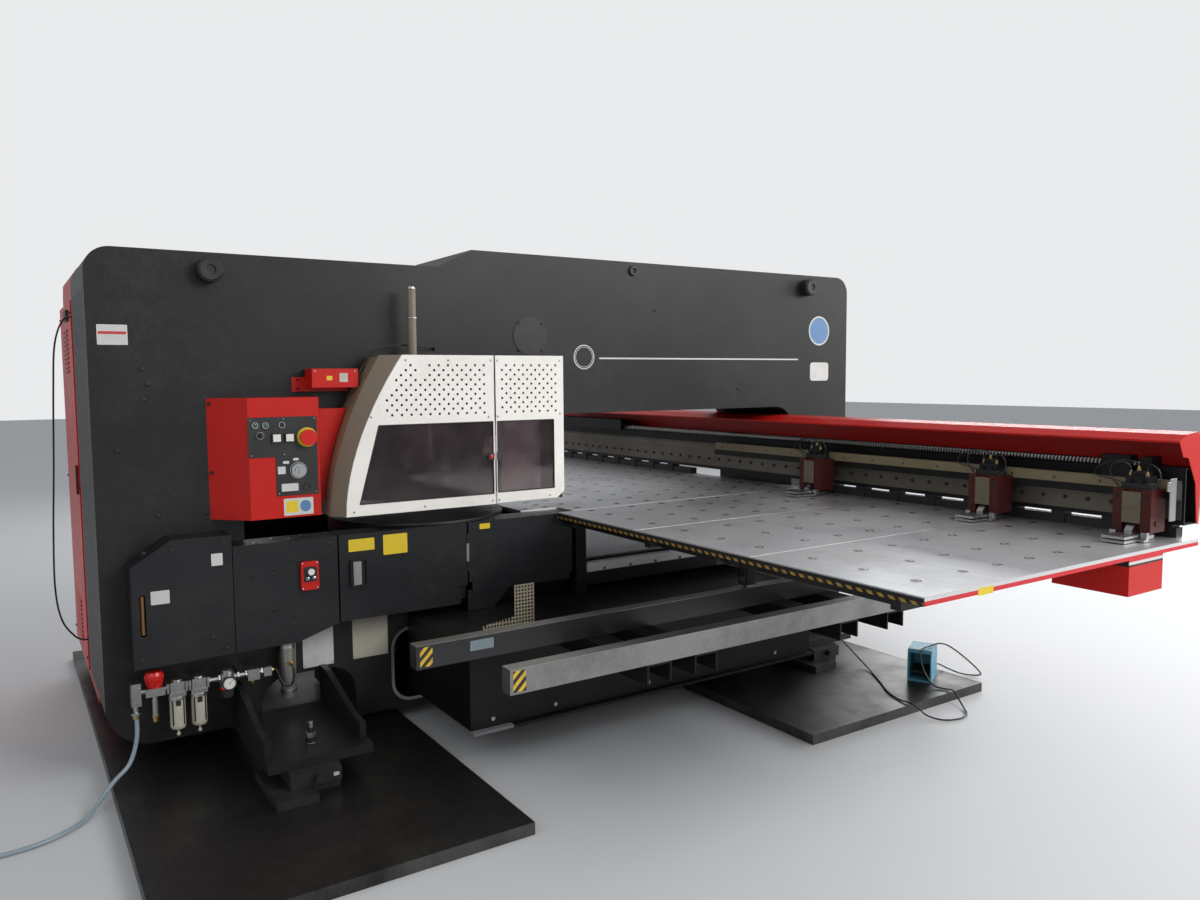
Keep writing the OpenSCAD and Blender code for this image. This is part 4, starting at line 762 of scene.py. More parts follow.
add_screws(add_button_screw, COVER,
           ((-1.415, 0.842), (-1.385, 0.835), (-1.28, 0.842), (-1.245, 0.855), (-1.56, 0.79), (-1.485, 0.79),
            (-1.56, 0.64), (-1.485, 0.64), (-1.43, 0.66), (-1.24, 0.66), (-1.4, 0.6), (-1.61, 0.895),
            (-1.25, 0.895)), 0.007, 0.004)
add_screws(add_button_screw, COVER, ((-0.57, 0.895), (-0.06, 0.895), (-0.57, 0.665), (-0.06, 0.665)), 0.007,
           0.004)
finish_piece("cover_screws", boss_black)
for _, ys, zs, _ in INFO_PLATES:
    corners = [(y, z) for y in (ys[0] + RIVET_IN, ys[1] - RIVET_IN) for z in (zs[0] + RIVET_IN, zs[1] - RIVET_IN)]
    add_screws(add_button_screw, FACE + PLATE_THICK, corners, 0.004, 0.002, 10)
finish_piece("plate_rivets", machined)
print("screws placed")

# %% [markdown]
# ## Hood
# The windows sit in black rubber, small screws hold the sheets, and a magnetic latch closes the gap between the
# two covers. The lift post gets a steel cap. A thin cable bends over the top of the hood.

# %% Hood trim
def add_line(points, r, sides=8, closed=False):
    """Round bar along straight stretches between points."""
    for a, b in zip(points, points[1:] + (points[:1] if closed else [])):
        add_rod(a, b, r, sides)
    for p in points:
        bmesh.ops.create_icosphere(bm, subdivisions=1, radius=r, matrix=Matrix.Translation(p))


HOOD, RUBBER_R = 0.55, 0.0028
add_line([(HOOD, -1.133, 1.06), (HOOD, -0.5, 1.06), (HOOD, -0.5, 1.392), (HOOD, -1.042, 1.392)], RUBBER_R,
         closed=True)
finish_piece("window_rubber", soft_rubber, "hood_cover", smooth=True)
add_line([(HOOD, -0.476, 1.064), (HOOD, -0.176, 1.064), (HOOD, -0.176, 1.392), (HOOD, -0.476, 1.392)], RUBBER_R,
         closed=True)
finish_piece("door_window_rubber", soft_rubber, "hood_door", smooth=True)
add_screws(add_button_screw, HOOD,
           ((-1.16, 1.03), (-0.84, 1.028), (-0.505, 1.028), (-0.505, 1.672), (-0.915, 1.672), (-0.715, 1.672),
            (-1.075, 1.43), (-0.52, 1.415)), 0.0055, 0.003, 12)
finish_piece("hood_screws", machined, "hood_cover", smooth=True)
add_screws(add_button_screw, HOOD,
           ((-0.472, 1.028), (-0.2, 1.03), (-0.472, 1.672), (-0.14, 1.672), (-0.14, 1.42), (-0.472, 1.415)),
           0.0055, 0.003, 12)
for z in (1.11, 1.57):
    add_rod((0.542, -0.127, z - 0.031), (0.542, -0.127, z + 0.031), 0.0035, 10)
finish_piece("hood_door_screws", machined, "hood_door", smooth=True)
add_box((HOOD, -0.529, 1.216), (0.558, -0.497, 1.248))
finish_piece("latch_body", dull_black, "hood_cover", 0.0015)
add_knob([(0.009, 0.0), (0.009, 0.004), (0.006, 0.006)], (0.558, -0.513, 1.232), OUT, 20)
finish_piece("latch_lamp", button_red, "hood_cover", smooth=True)
add_box((HOOD, -0.481, 1.214), (0.557, -0.455, 1.25))
finish_piece("latch_keeper", dull_black, "hood_door", 0.0015)
add_turned([(0.0, 0.012), (0.012, 0.0115), (0.018, 0.008), (0.0195, 0.003), (0.0195, 0.0), (0.0, 0.0)],
           (0.43, -0.835, 1.991), UP, 32)
add_knob([(0.0235, 0.0), (0.0235, 0.004)], (0.43, -0.835, 1.86), UP, 32)
finish_piece("post_cap", machined, smooth=True)
print("hood trimmed")

# %% Cable over the hood
def fixed_tube(name, points, r, finish, body="machine", parts=6, sides=10):
    """Tube along a smooth curve whose two ends are held in fittings."""
    line = through(points, parts)
    rings = []
    side = (line[1] - line[0]).orthogonal().normalized()
    for i, p in enumerate(line):
        ahead = (line[min(i + 1, len(line) - 1)] - line[max(i - 1, 0)]).normalized()
        side = (side - ahead * side.dot(ahead)).normalized()
        up = ahead.cross(side)
        rings.append([bm.verts.new(p + r * (c * side + s * up)) for c, s in circle(sides)])
    for a, b in zip(rings, rings[1:]):
        for k in range(sides):
            bm.faces.new((a[k], a[(k + 1) % sides], b[(k + 1) % sides], b[k]))
    bm.faces.new(rings[0])
    bm.faces.new(rings[-1])
    return finish_piece(name, finish, body, smooth=True)


fixed_tube("hood_cable",
           [(0.334, -1.06, 1.56), (0.36, -1.056, 1.6), (0.39, -1.04, 1.66), (0.398, -1.012, 1.705),
            (0.4, -0.98, 1.728), (0.4, -0.94, 1.737), (0.4, -0.88, 1.741), (0.396, -0.8, 1.742),
            (0.38, -0.73, 1.738), (0.345, -0.69, 1.732), (0.334, -0.686, 1.731)], 0.0035, cord_skin)
for y, z in ((-1.06, 1.56), (-0.686, 1.731)):
    add_knob([(0.006, 0.014), (0.009, 0.006), (0.011, 0.006), (0.011, 0.0)], (FACE, y, z), OUT, 20)
finish_piece("cable_glands", dull_black, smooth=True)
print("hood cable placed")

# %% [markdown]
# ## Operator's panel
# Most controls have a ring: a yellow collar under the stop button, steel bezels round the two indicators, a thin
# ring round the selector. Small bare plates stand where the real panel has its marks.

# %% Panel rings and plates
PANEL, AUX_FACE = 0.473, 0.44
collar_yellow = enamel("collar_yellow", (0.72, 0.5, 0.02), (0.4, 0.3, 0.05), 0.2, 20.0, 0.35, 900.0, 0.03)
lens_green = enamel("lens_green", (0.05, 0.1, 0.06), (0.1, 0.12, 0.1), 0.2, 30.0, 0.2, 900.0, 0.02)


def add_ring(at, r_in, r_out, h, axis=OUT, sides=36):
    add_turned([(r_in, 0.0), (r_in, 0.8 * h), (r_in + 0.15 * (r_out - r_in), h),
                (r_out - 0.25 * (r_out - r_in), h), (r_out, 0.6 * h), (r_out, 0.0)], at, axis, sides)


add_ring((PANEL, -1.327, 1.352), 0.028, 0.041, 0.009)
finish_piece("stop_collar", collar_yellow, smooth=True)
LAMPS = ((-1.534, 1.407), (-1.493, 1.406))
for y, z in (*LAMPS, (-1.428, 1.406)):
    add_ring((PANEL, y, z), 0.0095, 0.0145, 0.006, sides=28)
add_ring((PANEL, -1.515, 1.365), 0.0125, 0.016, 0.004, sides=28)
add_ring((PANEL, -1.367, 1.216), 0.031, 0.0355, 0.005)
finish_piece("panel_bezels", bright_metal, smooth=True)
for y, z in LAMPS:
    add_turned([(0.0, 0.006), (0.005, 0.0055), (0.009, 0.003), (0.009, 0.0), (0.0, 0.0)], (PANEL, y, z), OUT,
               24)
finish_piece("indicator_lenses", lens_green, smooth=True)
add_ring((PANEL, -1.333, 1.144), 0.013, 0.0165, 0.003, sides=28)
add_knob([(0.006, 0.003), (0.008, 0.0)], (PANEL, -1.428, 1.406), OUT, 20)
for y, z in ((-1.451, 1.353), (-1.399, 1.353)):
    add_plate(round_outline(PANEL, (y - 0.019, y + 0.019), (z - 0.019, z + 0.019), 0.003, 3), (0.0065, 0, 0))
finish_piece("panel_frames", boss_black)
for tag, y, z in (("a", (-1.386, -1.364), (1.257, 1.267)), ("b", (-1.427, -1.403), (1.245, 1.256)),
                  ("c", (-1.449, -1.418), (1.203, 1.234)), ("d", (-1.436, -1.368), (1.13, 1.162))):
    sticker("selector_plate_" + tag, PANEL, y, z, sticker_white, thick=0.0005, r=0.001)
sticker("aux_label_a", AUX_FACE, (-1.226, -1.202), (1.588, 1.606), sticker_yellow, r=0.002)
sticker("aux_label_b", AUX_FACE, (-1.171, -1.135), (1.58, 1.618), plate_pale, r=0.002)
add_screws(add_button_screw, PANEL,
           ((-1.551, 1.429), (-1.42, 1.431), (-1.552, 1.284), (-1.421, 1.284), (-1.294, 1.431), (-1.294, 1.122),
            (-1.446, 1.122)), 0.0028, 0.0016, 10)
add_screws(add_button_screw, AUX_FACE, ((-1.275, 1.627), (-1.103, 1.627)), 0.004, 0.002, 10)
finish_piece("panel_screws", machined)
for y, z in ((-1.68, 1.495), (-1.68, 1.214)):
    add_cap_screw((0.3435, y, z), (0.73, -0.68, 0), 0.007, 0.006, 16)
add_screws(add_cap_screw, 0.334, ((-1.32, 1.553), (-1.32, 1.59), (-1.1, 1.548)), 0.005, 0.005, 14)
finish_piece("box_screws", boss_black)
STATION = 0.485
add_plate(round_outline(STATION, (-1.361, -1.307), (0.742, 0.806), 0.005, 3), (0.002, 0, 0))
finish_piece("station_plate", dull_black)
for y in (-1.347, -1.32):
    add_ring((STATION + 0.002, y, 0.757), 0.004, 0.0075, 0.004, sides=20)
    add_rod((STATION + 0.002, y, 0.757), (STATION + 0.017, y, 0.763), 0.0022, 10, 0.003)
add_screws(add_button_screw, STATION, ((-1.365, 0.714), (-1.305, 0.714), (-1.365, 0.821), (-1.305, 0.821)),
           0.0035, 0.002, 10)
finish_piece("station_toggles", bright_metal, smooth=True)
print("panel dressed")

# %% [markdown]
# ## Lower covers
# A thin light edge shows the gap of the access door, the recessed latch is a pale flap, and the tops of the covers
# carry loose steel balls in cups that help the sheet over them. The frame behind has its own openings: a guard of
# square holes and an opening with a bright steel rim, a painted highlight for the lit inner wall of the opening.

# %% Ball cups
BALL_R, BALL_RISE = 0.0105, 0.0034
TABLE_TOP, COVER_TOP = 0.93, 0.922
# The cups are a darker steel than the balls and the table: painted shade round each bright ball.
CUP_SHADE_STEEL = bare_metal("cup_steel_painted_shade", (0.3, 0.29, 0.28), (0.1, 0.09, 0.08), 0.4, 0.4, (60, 60, 60), 0.05)


def add_ball_cup(x, y, z):
    add_turned([(0.0, BALL_RISE), (0.35 * BALL_R, 0.9 * BALL_RISE), (0.7 * BALL_R, 0.5 * BALL_RISE),
                (BALL_R, 0.0002), (1.1 * BALL_R, 0.0002)], (x, y, z), UP, 16)
    balls = len(bm.faces)
    add_turned([(1.1 * BALL_R, 0.0002), (1.15 * BALL_R, 0.001), (1.7 * BALL_R, 0.001), (1.8 * BALL_R, 0.0)],
               (x, y, z), UP, 16)
    bm.faces.ensure_lookup_table()
    for f in bm.faces[balls:]:
        f.material_index = 1


for x, y in ((0.37, -1.58), (0.44, -1.54), (0.38, -1.46), (0.43, -1.4), (0.37, -1.33), (0.44, -1.27),
             (0.37, -0.52), (0.43, -0.44), (0.38, -0.34), (0.44, -0.24), (0.38, -0.13)):
    add_ball_cup(x, y, COVER_TOP)
for x in (0.09, 0.19, 0.29, -0.09, -0.19, -0.29, 0.0):
    for y in (-0.2, -0.08):
        if abs(x) > 0.25 or y > -0.1:
            add_ball_cup(x, y, TABLE_TOP)
CUP_Y = (0.045, 0.29, 0.485, 0.68, 0.863, 1.056, 1.25, 1.44)
for x in (-0.4, -0.24, -0.08, 0.08, 0.24, 0.4):
    for y in CUP_Y:
        add_ball_cup(x, y, TABLE_TOP)
finish_piece("fixed_ball_cups", bright_metal, smooth=True).data.materials.append(CUP_SHADE_STEEL)
for x in (0.535, 0.69, 0.87, 1.04, 1.275, 1.515, 1.74, 2.015, 2.25, 2.465):
    for y in CUP_Y:
        add_ball_cup(x, y, TABLE_TOP)
        add_ball_cup(-x, y, TABLE_TOP)
finish_piece("table_ball_cups", bright_metal, "table", smooth=True).data.materials.append(CUP_SHADE_STEEL)
# Painted highlight: thin bright strips along the table panel joints stand in for the light glinting on the joint
# edges.
joint_glint = bare_metal("joint_glint", (0.85, 0.85, 0.85), (0.5, 0.5, 0.5), 0.2, 0.25, (20, 20, 20), 0.02)
for s in (-1, 1):
    for x in (1.14, 1.865):
        lo, hi = sorted((s * (x - 0.0022), s * (x + 0.0022)))
        add_box((lo, -0.118, 0.912), (hi, 1.588, 0.9293))
finish_piece("panel_joint_highlights", joint_glint, "table")
print("ball cups placed")

# %% Cover details
add_line([(0.4705, -1.152, 0.698), (0.4705, -1.09, 0.698), (0.4705, -1.09, 0.804), (0.4705, -1.152, 0.804)],
         0.002, 6, True)
finish_piece("latch_rim", bright_metal, "access_door", smooth=True)
add_rod((0.468, -0.6, 0.74), (0.468, -0.6, 0.824), 0.0075, 16)
finish_piece("door_hinge_sleeve", machined, "access_door", smooth=True)
amber = enamel("slot_amber", (0.22, 0.1, 0.03), (0.1, 0.06, 0.03), 0.4, 12.0, 0.3)
add_rod((0.458, -1.9725, 0.61), (0.458, -1.9725, 0.762), 0.0075, 16)
finish_piece("level_tube", amber, smooth=True)
guard_beige = enamel("guard_beige", (0.34, 0.3, 0.22), (0.15, 0.13, 0.1), 0.4, 12.0, 0.45)
GUARD_X, GUARD_T, GUARD_BAR = 0.8, 0.0015, 0.003
GUARD_Y, GUARD_Z, GUARD_CUT = (-0.69, -0.436), (0.5002, 0.679), (-0.69, -0.534, 0.52, 0.541)


def guard_top(y):
    """Upper edge of the guard: its left part is cut off below the sweep of the access cover."""
    left, right, low, high = GUARD_CUT
    return GUARD_Z[1] if y > right else low + (high - low) * (y - left) / (right - left)


edges = [GUARD_Y[0] + 0.0155 * i for i in range(17)]
for y in edges:
    add_box((GUARD_X, y, GUARD_Z[0]), (GUARD_X + GUARD_T, y + 2 * GUARD_BAR, guard_top(y + GUARD_BAR)))
for i in range(12):
    low, high = (GUARD_Z[0] + 0.0157 * i + add for add in (0.0, 2 * GUARD_BAR))
    first = min((y for y in edges if guard_top(y + GUARD_BAR) >= high), default=GUARD_Y[0])
    add_box((GUARD_X + 0.0002, first, low), (GUARD_X + GUARD_T + 0.0002, GUARD_Y[1], high))
finish_piece("frame_guard", guard_beige)


def add_rim(x, y, z, r, width, thick):
    outer = round_outline(x, (y[0] - width, y[1] + width), (z[0] - width, z[1] + width), r + width)
    inner = round_outline(x, y, z, r)
    a = [bm.verts.new(p) for p in outer]
    b = [bm.verts.new(p) for p in inner]
    faces = [bm.faces.new((a[i], a[(i + 1) % len(a)], b[(i + 1) % len(a)], b[i])) for i in range(len(a))]
    push_out(faces, (thick, 0, 0))


# Painted highlight: the bright rim stands in for the light on the inner wall round the opening.
add_rim(FACE, (-0.919, -0.665), (0.1, 0.424), 0.08, 0.014, 0.0015)
finish_piece("opening_highlight_rim", machined)
for s in (-1, 1):
    for f in (-1.435, 1.3):
        add_turned([(0.013, 0.0), (0.024, 0.0), (0.024, 0.003), (0.013, 0.003)], (s * 0.78, f, 0.17), UP, 28)
        add_knob([(0.012, 0.0225), (0.0205, 0.021), (0.0205, 0.003)], (s * 0.78, f, 0.1875), UP, 6)
        add_rod((s * 0.78, f, 0.21), (s * 0.78, f, 0.252), 0.0115, 20, 0.0105)
finish_piece("jack_bolts", air_metal, bevel=0.0008)
print("cover details placed")

# %% [markdown]
# ## Cross beam and workholders
# The guide strip is bolted along its whole length, the bar carries a toothed scale strip, and each workholder has
# a beige front plate, a black valve block, brass fittings and short hoses.

# %% Beam details
scale_beige = enamel("scale_beige", (0.21, 0.175, 0.1), (0.1, 0.085, 0.05), 0.45, 14.0, 0.4, shine=0.3)
brass = bare_metal("brass", (0.6, 0.42, 0.17), (0.3, 0.2, 0.08), 0.3, 0.3, (60, 60, 60), 0.05)
for i in range(51):
    add_cap_screw((-2.52 + 0.1008 * i, 1.514, 1.052), NEAR, 0.0085, 0.007, 12)
for i in range(26):
    add_cap_screw((-2.5 + 0.2 * i, 1.5, 1.128), NEAR, 0.0045, 0.001, 10)
finish_piece("strip_bolts", boss_black, "table")
add_box((-0.168, 1.4519, 1.124), (2.598, 1.4525, 1.1665))
add_box((-0.168, 1.4523, 1.1665), (2.598, 1.47, 1.1675))
for i in range(230):
    x = -0.16 + 0.012 * i
    add_box((x - 0.0035, 1.4523, 1.167), (x + 0.0035, 1.46, 1.1695))
finish_piece("scale_strip", scale_beige, "carriage")
for i in range(14):
    add_knob([(0.006, 0.0001), (0.006, 0.0)], (-0.1 + 0.2 * i, 1.4519, 1.142), NEAR, 16)
finish_piece("bar_screws", boss_black, "carriage")
add_box((2.594, 1.405, 1.012), (2.6, 1.4515, 1.18))
add_box((2.594, 1.385, 1.13), (2.6, 1.406, 1.168))
finish_piece("bar_end_bracket", machined, "carriage", 0.0015)
print("beam bolts and scale placed")

# %% Workholder details
HOSES = (
    (0.003, ((-0.034, 1.395, 1.2), (-0.036, 1.392, 1.222), (-0.062, 1.378, 1.238), (-0.098, 1.372, 1.222),
             (-0.106, 1.376, 1.19), (-0.09, 1.376, 1.158), (-0.066, 1.365, 1.14), (-0.064, 1.355, 1.12))),
    (0.003, ((0.03, 1.395, 1.198), (0.033, 1.39, 1.22), (0.054, 1.376, 1.232), (0.083, 1.37, 1.214),
             (0.09, 1.372, 1.18), (0.08, 1.37, 1.15), (0.062, 1.36, 1.134), (0.059, 1.352, 1.12))),
    (0.0025, ((-0.012, 1.412, 1.214), (-0.016, 1.411, 1.232), (-0.06, 1.405, 1.243), (-0.12, 1.405, 1.234),
              (-0.17, 1.41, 1.21), (-0.19, 1.42, 1.184), (-0.18, 1.426, 1.168), (-0.12, 1.42, 1.16),
              (-0.08, 1.41, 1.152), (-0.058, 1.405, 1.148))))
for tag, x in (("a", 0.758), ("b", 1.828), ("c", 2.486)):
    body = "clamp_" + tag
    add_box((x - 0.0355, 1.3345, 1.0), (x + 0.0355, 1.34, 1.124))
    add_line([(x - 0.035, 1.3342, 1.058), (x + 0.035, 1.3342, 1.058)], 0.0012, 6)
    finish_piece("front_plate_" + tag, clamp_front, body, 0.001)
    for dx, z in ((-0.055, 1.105), (0.055, 1.105), (-0.055, 0.985), (0.055, 0.985)):
        add_cap_screw((x + dx, 1.34, z), NEAR, 0.006, 0.005, 14)
    add_box((x - 0.06, 1.372, 1.1325), (x + 0.055, 1.43, 1.156))
    add_box((x - 0.02, 1.396, 1.198), (x + 0.018, 1.424, 1.2035))
    finish_piece("valve_block_" + tag, dull_black, body, 0.0015)
    for dx, y, h in ((-0.034, 1.395, 0.022), (0.03, 1.395, 0.02), (-0.012, 1.412, 0.018)):
        add_knob([(0.003, h), (0.0045, 0.6 * h), (0.0075, 0.55 * h), (0.0075, 0.0)],
                 (x + dx, y, 1.184 if abs(dx) > 0.02 else 1.2035), UP, 6)
    for dx in (-0.064, 0.059):
        add_knob([(0.004, 0.016), (0.007, 0.009), (0.007, 0.0)], (x + dx, 1.365, 1.12), NEAR, 6)
    finish_piece("fittings_" + tag, brass, body)
    add_box((x - 0.072, 1.3, 0.9345), (x + 0.072, 1.3395, 0.941))
    for dx in (-0.06, 0.06):
        add_box((x + dx - 0.012, 1.318, 0.941), (x + dx + 0.012, 1.3395, 0.968))
    finish_piece("foot_plate_" + tag, machined, body, 0.001)
    for number, (r, route) in enumerate(HOSES, 1):
        fixed_tube(f"clamp_hose_{tag}{number}", [(x + dx, y, z) for dx, y, z in route], r, cord_skin, body)
print("workholders dressed")

# %% [markdown]
# ## Air unit
# The bowls get their sight slots and collars, the gauge its dial, the valve knob its ribs. Brass shows at the
# silencer and under the blocks, and a short hose joins the line to the small tank.

# %% Air unit details
AIR_X, AIR_Z, VALVE_Y, FILTERS_Y, REGULATOR_Y = 0.43, 0.378, -1.94, (-1.86, -1.78), -1.67
GAUGE, TANK_X, TANK_Y = (0.478, REGULATOR_Y, 0.366), 0.392, -1.415
bowl_cream = enamel("bowl_cream", (0.5, 0.47, 0.39), (0.3, 0.27, 0.2), 0.35, 20.0, 0.35, 700.0, 0.04)
recoloured(bowl_cream, region(y=(-1.6, FAR)), (0.36, 0.335, 0.3), 0.7)
paint(bowl_cream, "air_vessels")
for y in FILTERS_Y:
    for s in (-1, 1):
        add_box((AIR_X + 0.0205, y + s * 0.0195 - 0.0035, 0.226),
                (AIR_X + 0.0232, y + s * 0.0195 + 0.0035, 0.329))
    add_plate(round_outline(0.4582, (y - 0.009, y + 0.009), (0.306, 0.328), 0.002, 3), (0.0018, 0, 0))
    add_knob([(0.0035, -0.006), (0.0045, 0.0)], (AIR_X, y, 0.1765), UP, 16)
finish_piece("sight_slots", dull_black)
for y in FILTERS_Y:
    add_ring((AIR_X, y, 0.329), 0.0288, 0.0335, 0.016, UP)
    add_screws(add_cap_screw, AIR_X + 0.03, ((y - 0.022, 0.353), (y + 0.022, 0.353)), 0.004, 0.004, 12)
    add_box((AIR_X + 0.029, y - 0.014, 0.368), (AIR_X + 0.031, y + 0.014, 0.394))
add_screws(add_cap_screw, AIR_X + 0.025, [(y, z) for y in (-2.014, -2.001) for z in (0.405, 0.345)], 0.004,
           0.004, 12)
add_knob([(0.012, 0.004), (0.019, 0.0), (0.019, -0.008)], (AIR_X, REGULATOR_Y, 0.412), UP, 28)
for y in (-1.885, -1.817, -1.745, -1.705, -1.632, -1.6, -1.538):
    add_knob([(0.0185, 0.0), (0.0185, 0.007)], (AIR_X, y, AIR_Z), (0, 1, 0), 6)
finish_piece("air_collars", machined)
add_ring(GAUGE, 0.0235, 0.0285, 0.005)
finish_piece("gauge_bezel", boss_black, smooth=True)
add_knob([(0.0235, 0.0015), (0.0235, 0.0)], GAUGE, OUT, 36)
finish_piece("gauge_dial", button_white)
for i in range(11):
    a = math.radians(225 - 27 * i)
    c, s = math.cos(a), math.sin(a)
    add_line([(0.4797, REGULATOR_Y + 0.0175 * c, 0.366 + 0.0175 * s),
              (0.4797, REGULATOR_Y + 0.0215 * c, 0.366 + 0.0215 * s)], 0.0005, 4)
add_line([(0.4803, -1.673, 0.363), (0.4803, -1.656, 0.38)], 0.0008, 5)
add_knob([(0.002, 0.002), (0.002, 0.0)], (0.4797, REGULATOR_Y, 0.366), OUT, 12)
finish_piece("gauge_needle", dull_black)
add_ring((AIR_X, REGULATOR_Y, 0.3335), 0.0233, 0.0295, 0.0075, UP)
finish_piece("regulator_ring", button_red, smooth=True)
for c, s in circle(18):
    low, mid, high = ((AIR_X + r * c, VALVE_Y + r * s, z)
                      for r, z in ((0.0265, 0.398), (0.033, 0.427), (0.033, 0.44)))
    add_rod(low, mid, 0.0022, 6)
    add_rod(mid, high, 0.0022, 6)
finish_piece("knob_ribs", button_red, "valve_knob", smooth=True)
for c, s in circle(20):
    x, y = AIR_X + 0.023 * c, REGULATOR_Y + 0.023 * s
    add_rod((x, y, 0.302), (x, y, 0.331), 0.0014, 6)
finish_piece("regulator_ribs", dull_black, "regulator_knob", smooth=True)
add_turned([(0.0, 0.0), (0.006, 0.001), (0.0095, 0.008), (0.0095, 0.024), (0.0135, 0.024), (0.0135, 0.033),
            (0.0, 0.033)], (AIR_X, VALVE_Y, 0.245), UP, 24)
add_ring((AIR_X, -2.008, 0.277), 0.0082, 0.0122, 0.014, UP, 28)
add_knob([(0.005, -0.022), (0.006, -0.01), (0.0095, -0.01), (0.0095, 0.0)], (AIR_X, -1.568, 0.352), UP, 6)
add_knob([(0.005, 0.014), (0.008, 0.009), (0.01, 0.009), (0.01, 0.0)], (AIR_X, -1.496, 0.377), (0, 1, 0), 6)
add_knob([(0.005, 0.018), (0.008, 0.011), (0.011, 0.011), (0.011, 0.0)], (0.424, -1.415, 0.392), OUT, 6)
finish_piece("air_brass", brass)
fixed_tube("tank_hose",
           [(AIR_X, -1.484, 0.377), (0.432, -1.472, 0.37), (0.437, -1.462, 0.338), (0.443, -1.447, 0.308),
            (0.45, -1.428, 0.3), (0.455, -1.414, 0.316), (0.456, -1.409, 0.35), (0.45, -1.411, 0.38),
            (0.438, -1.414, 0.391)], 0.0045, cord_skin)
for z in (0.262, 0.452):
    add_ring((TANK_X, TANK_Y, z), 0.0322, 0.0342, 0.012, UP, 40)
finish_piece("tank_straps", machined, smooth=True)
print("air unit dressed")

# %% [markdown]
# ## Where the leads leave
# A lead never leaves a housing through a bare hole: a tapered, ribbed sleeve guides the first centimetres.

# %% Lead sleeves
def add_sleeve(at, axis, r_lead, length=0.03):
    """Tapered ribbed strain relief with its nut."""
    steps = 6
    profile = [(r_lead * 0.9, length)]
    for i in range(steps, 0, -1):
        wide = r_lead * (1.25 + 0.75 * (1 - i / steps))
        at_h = length * (0.25 + 0.75 * i / steps)
        profile += [(wide, at_h), (wide, at_h - length * 0.07), (wide * 0.88, at_h - length * 0.09)]
    profile += [(r_lead * 2.3, 0.25 * length), (r_lead * 2.3, 0.0), (0.0, 0.0)]
    add_turned(profile, at, axis, 20)


out_way = Vector(at_switch(0.03, 0.1285, 0.035)) - Vector(at_switch(0.03, 0.0895, 0.035))
add_sleeve(at_switch(0.03, 0.0925, 0.035), out_way.normalized(), 0.004, 0.026)
add_sleeve((CABLE_X, -2.077, 1.8805), NEAR, 0.004, 0.022)
add_sleeve((CABLE_X, -2.077, 0.394), NEAR, 0.004, 0.022)
finish_piece("lead_sleeves", soft_rubber, smooth=True)
add_sleeve((0.43, -2.008, 0.3005), (0, 0, -1), 0.008, 0.024)
finish_piece("hose_ferrule", air_metal, smooth=True)
print("lead sleeves placed")

# %% [markdown]
# ## Foot switch, cabinet and back
# The small switch housing gets its screws and a coloured spot. The cabinet door gets a seal, two louvre fields and
# screws at its edges, and four eye bolts stand on the cabinet's roof. The covers at the back are screwed on like
# those in front.

# %% Foot switch details
add_turned([(0.0, 0.0015), (0.009, 0.0012), (0.01, 0.0), (0.0, 0.0)], at_switch(0.0, -0.055, 0.165), UP, 24)
finish_piece("switch_spot", sticker_yellow)
for x, y in ((-0.044, -0.078), (0.044, -0.078), (-0.044, 0.048), (0.044, 0.048)):
    add_button_screw(at_switch(x, y, 0.1648), UP, 0.004, 0.002, 12)
turn = Matrix.Rotation(SWITCH_TURN, 3, "Z")
for x, y, z in ((0.058, -0.06, 0.03), (0.058, 0.06, 0.03), (0.058, 0.06, 0.085)):
    add_button_screw(at_switch(x, y, z), turn @ Vector((1, 0, 0)), 0.004, 0.002, 12)
finish_piece("switch_screws", machined, smooth=True)
for i in range(7):
    y = -0.068 + 0.014 * i
    add_rod(at_switch(-0.044, y, 0.0485), at_switch(0.044, y, 0.0485), 0.0016, 6)
finish_piece("pedal_ribs", soft_rubber, "pedal", smooth=True)
print("foot switch dressed")

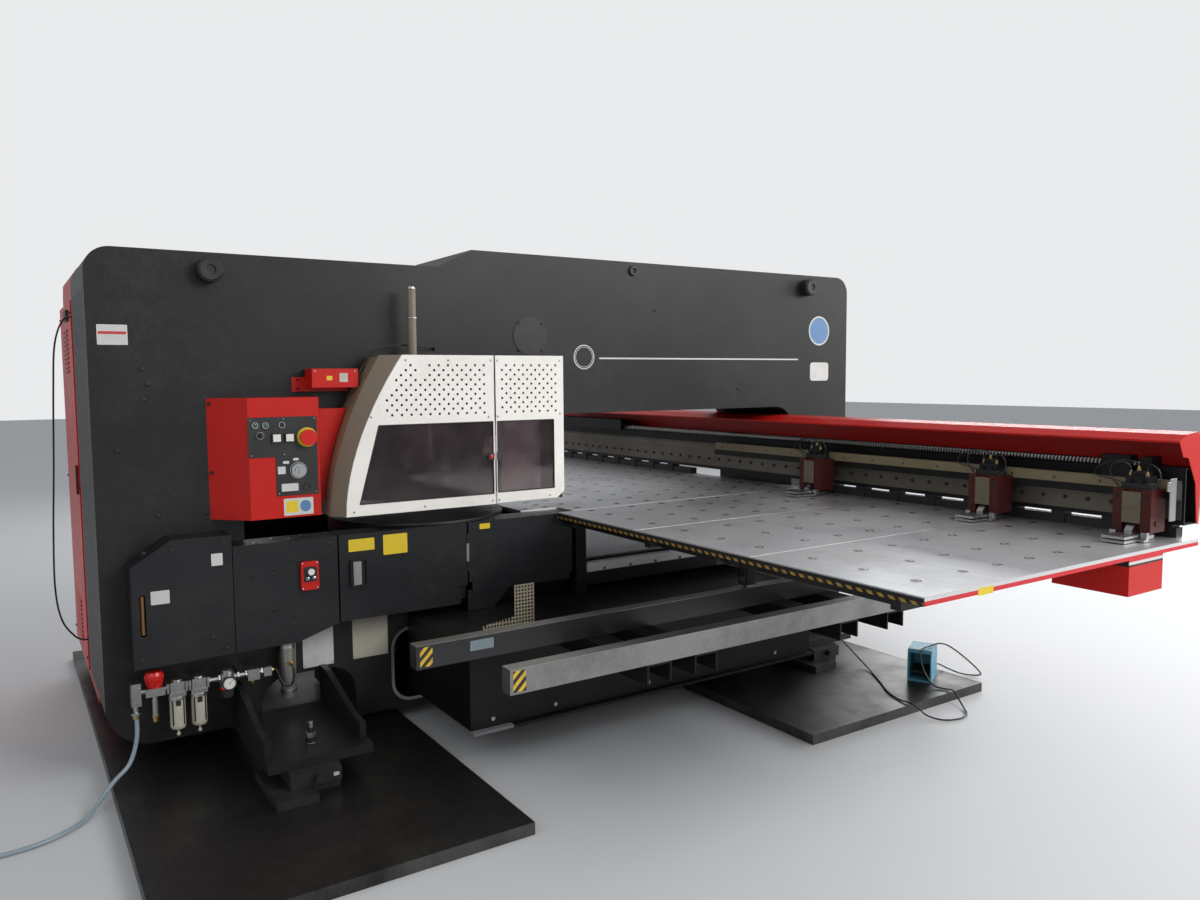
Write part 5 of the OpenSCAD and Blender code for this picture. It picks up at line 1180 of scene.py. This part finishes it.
# %% Cabinet details
DOOR_Y = -2.095
LOUVRES_Z = [z0 + 0.022 * i for z0 in (0.3, 1.64) for i in range(10)]
for z in LOUVRES_Z:
    add_rod((-1.12, DOOR_Y, z), (-0.84, DOOR_Y, z), 0.006, 8)
finish_piece("door_louvres", cover_red, "cabinet_door", smooth=True)
for z in LOUVRES_Z:
    add_box((-1.115, DOOR_Y - 0.0012, z - 0.0095), (-0.845, DOOR_Y + 0.001, z - 0.006))
add_box((-0.88, DOOR_Y - 0.012, 1.88), (-0.73, DOOR_Y, 1.93))
finish_piece("door_slots", dull_black, "cabinet_door")
add_line([(-1.343, -2.0755, 0.212), (-0.592, -2.0755, 0.212), (-0.592, -2.0755, 1.968),
          (-1.343, -2.0755, 1.968)], 0.0022, 6, True)
finish_piece("door_seal", soft_rubber, smooth=True)
for z in (0.27, 1.09, 1.91):
    add_cap_screw((-1.325, DOOR_Y, z), NEAR, 0.006, 0.005, 14)
    add_cap_screw((-0.612, DOOR_Y, z), NEAR, 0.006, 0.005, 14)
finish_piece("door_screws", boss_black, "cabinet_door")
EYE_RING = [(0.02 + 0.0055 * c, 0.0055 * s) for c, s in circle(10) + [(1.0, 0.0)]]
for x in (-1.26, -0.43):
    for y in (-2.01, -1.72):
        add_turned(EYE_RING, (x, y, 2.121), (0, 1, 0), 24)
        add_knob([(0.008, 0.009), (0.014, 0.004), (0.014, 0.0)], (x, y, 2.09), UP, 20)
finish_piece("eye_bolts", machined, smooth=True)
for row, rows_z in (((-1.58, -1.3, -1.0, -0.7, -0.4, -0.1), (0.625, 0.88)),
                    ((-1.22, -0.96, -0.69, -0.42, -0.15), (1.04, 1.41))):
    for y in row:
        for z in rows_z:
            add_button_screw((-0.46, y, z), (-1, 0, 0), 0.007, 0.004, 12)
finish_piece("rear_cover_screws", boss_black)
for s in (-1, 1):
    for i in range(9):
        add_cap_screw((s * 0.445, 0.18 + 0.165 * i, 0.609), (s, 0, 0), 0.0065, 0.006, 12)
finish_piece("guide_clamps", boss_black)
for s in (-1, 1):
    for y in (-0.75, -0.45, 0.05, 0.45, 0.85):
        for z in (0.185, 0.465):
            add_cap_screw((s * 1.0, y, z), (s, 0, 0), 0.009, 0.007, 14)
    for i in range(13):
        add_cap_screw((s * 0.422, 0.125 + 0.115 * i, 0.645), UP, 0.0065, 0.0015, 12)
finish_piece("guide_bolts", machined)
print("cabinet and back dressed")

# %% Size and finish
print("pieces", len(made_pieces), "faces", sum(n for _, n in made_pieces))
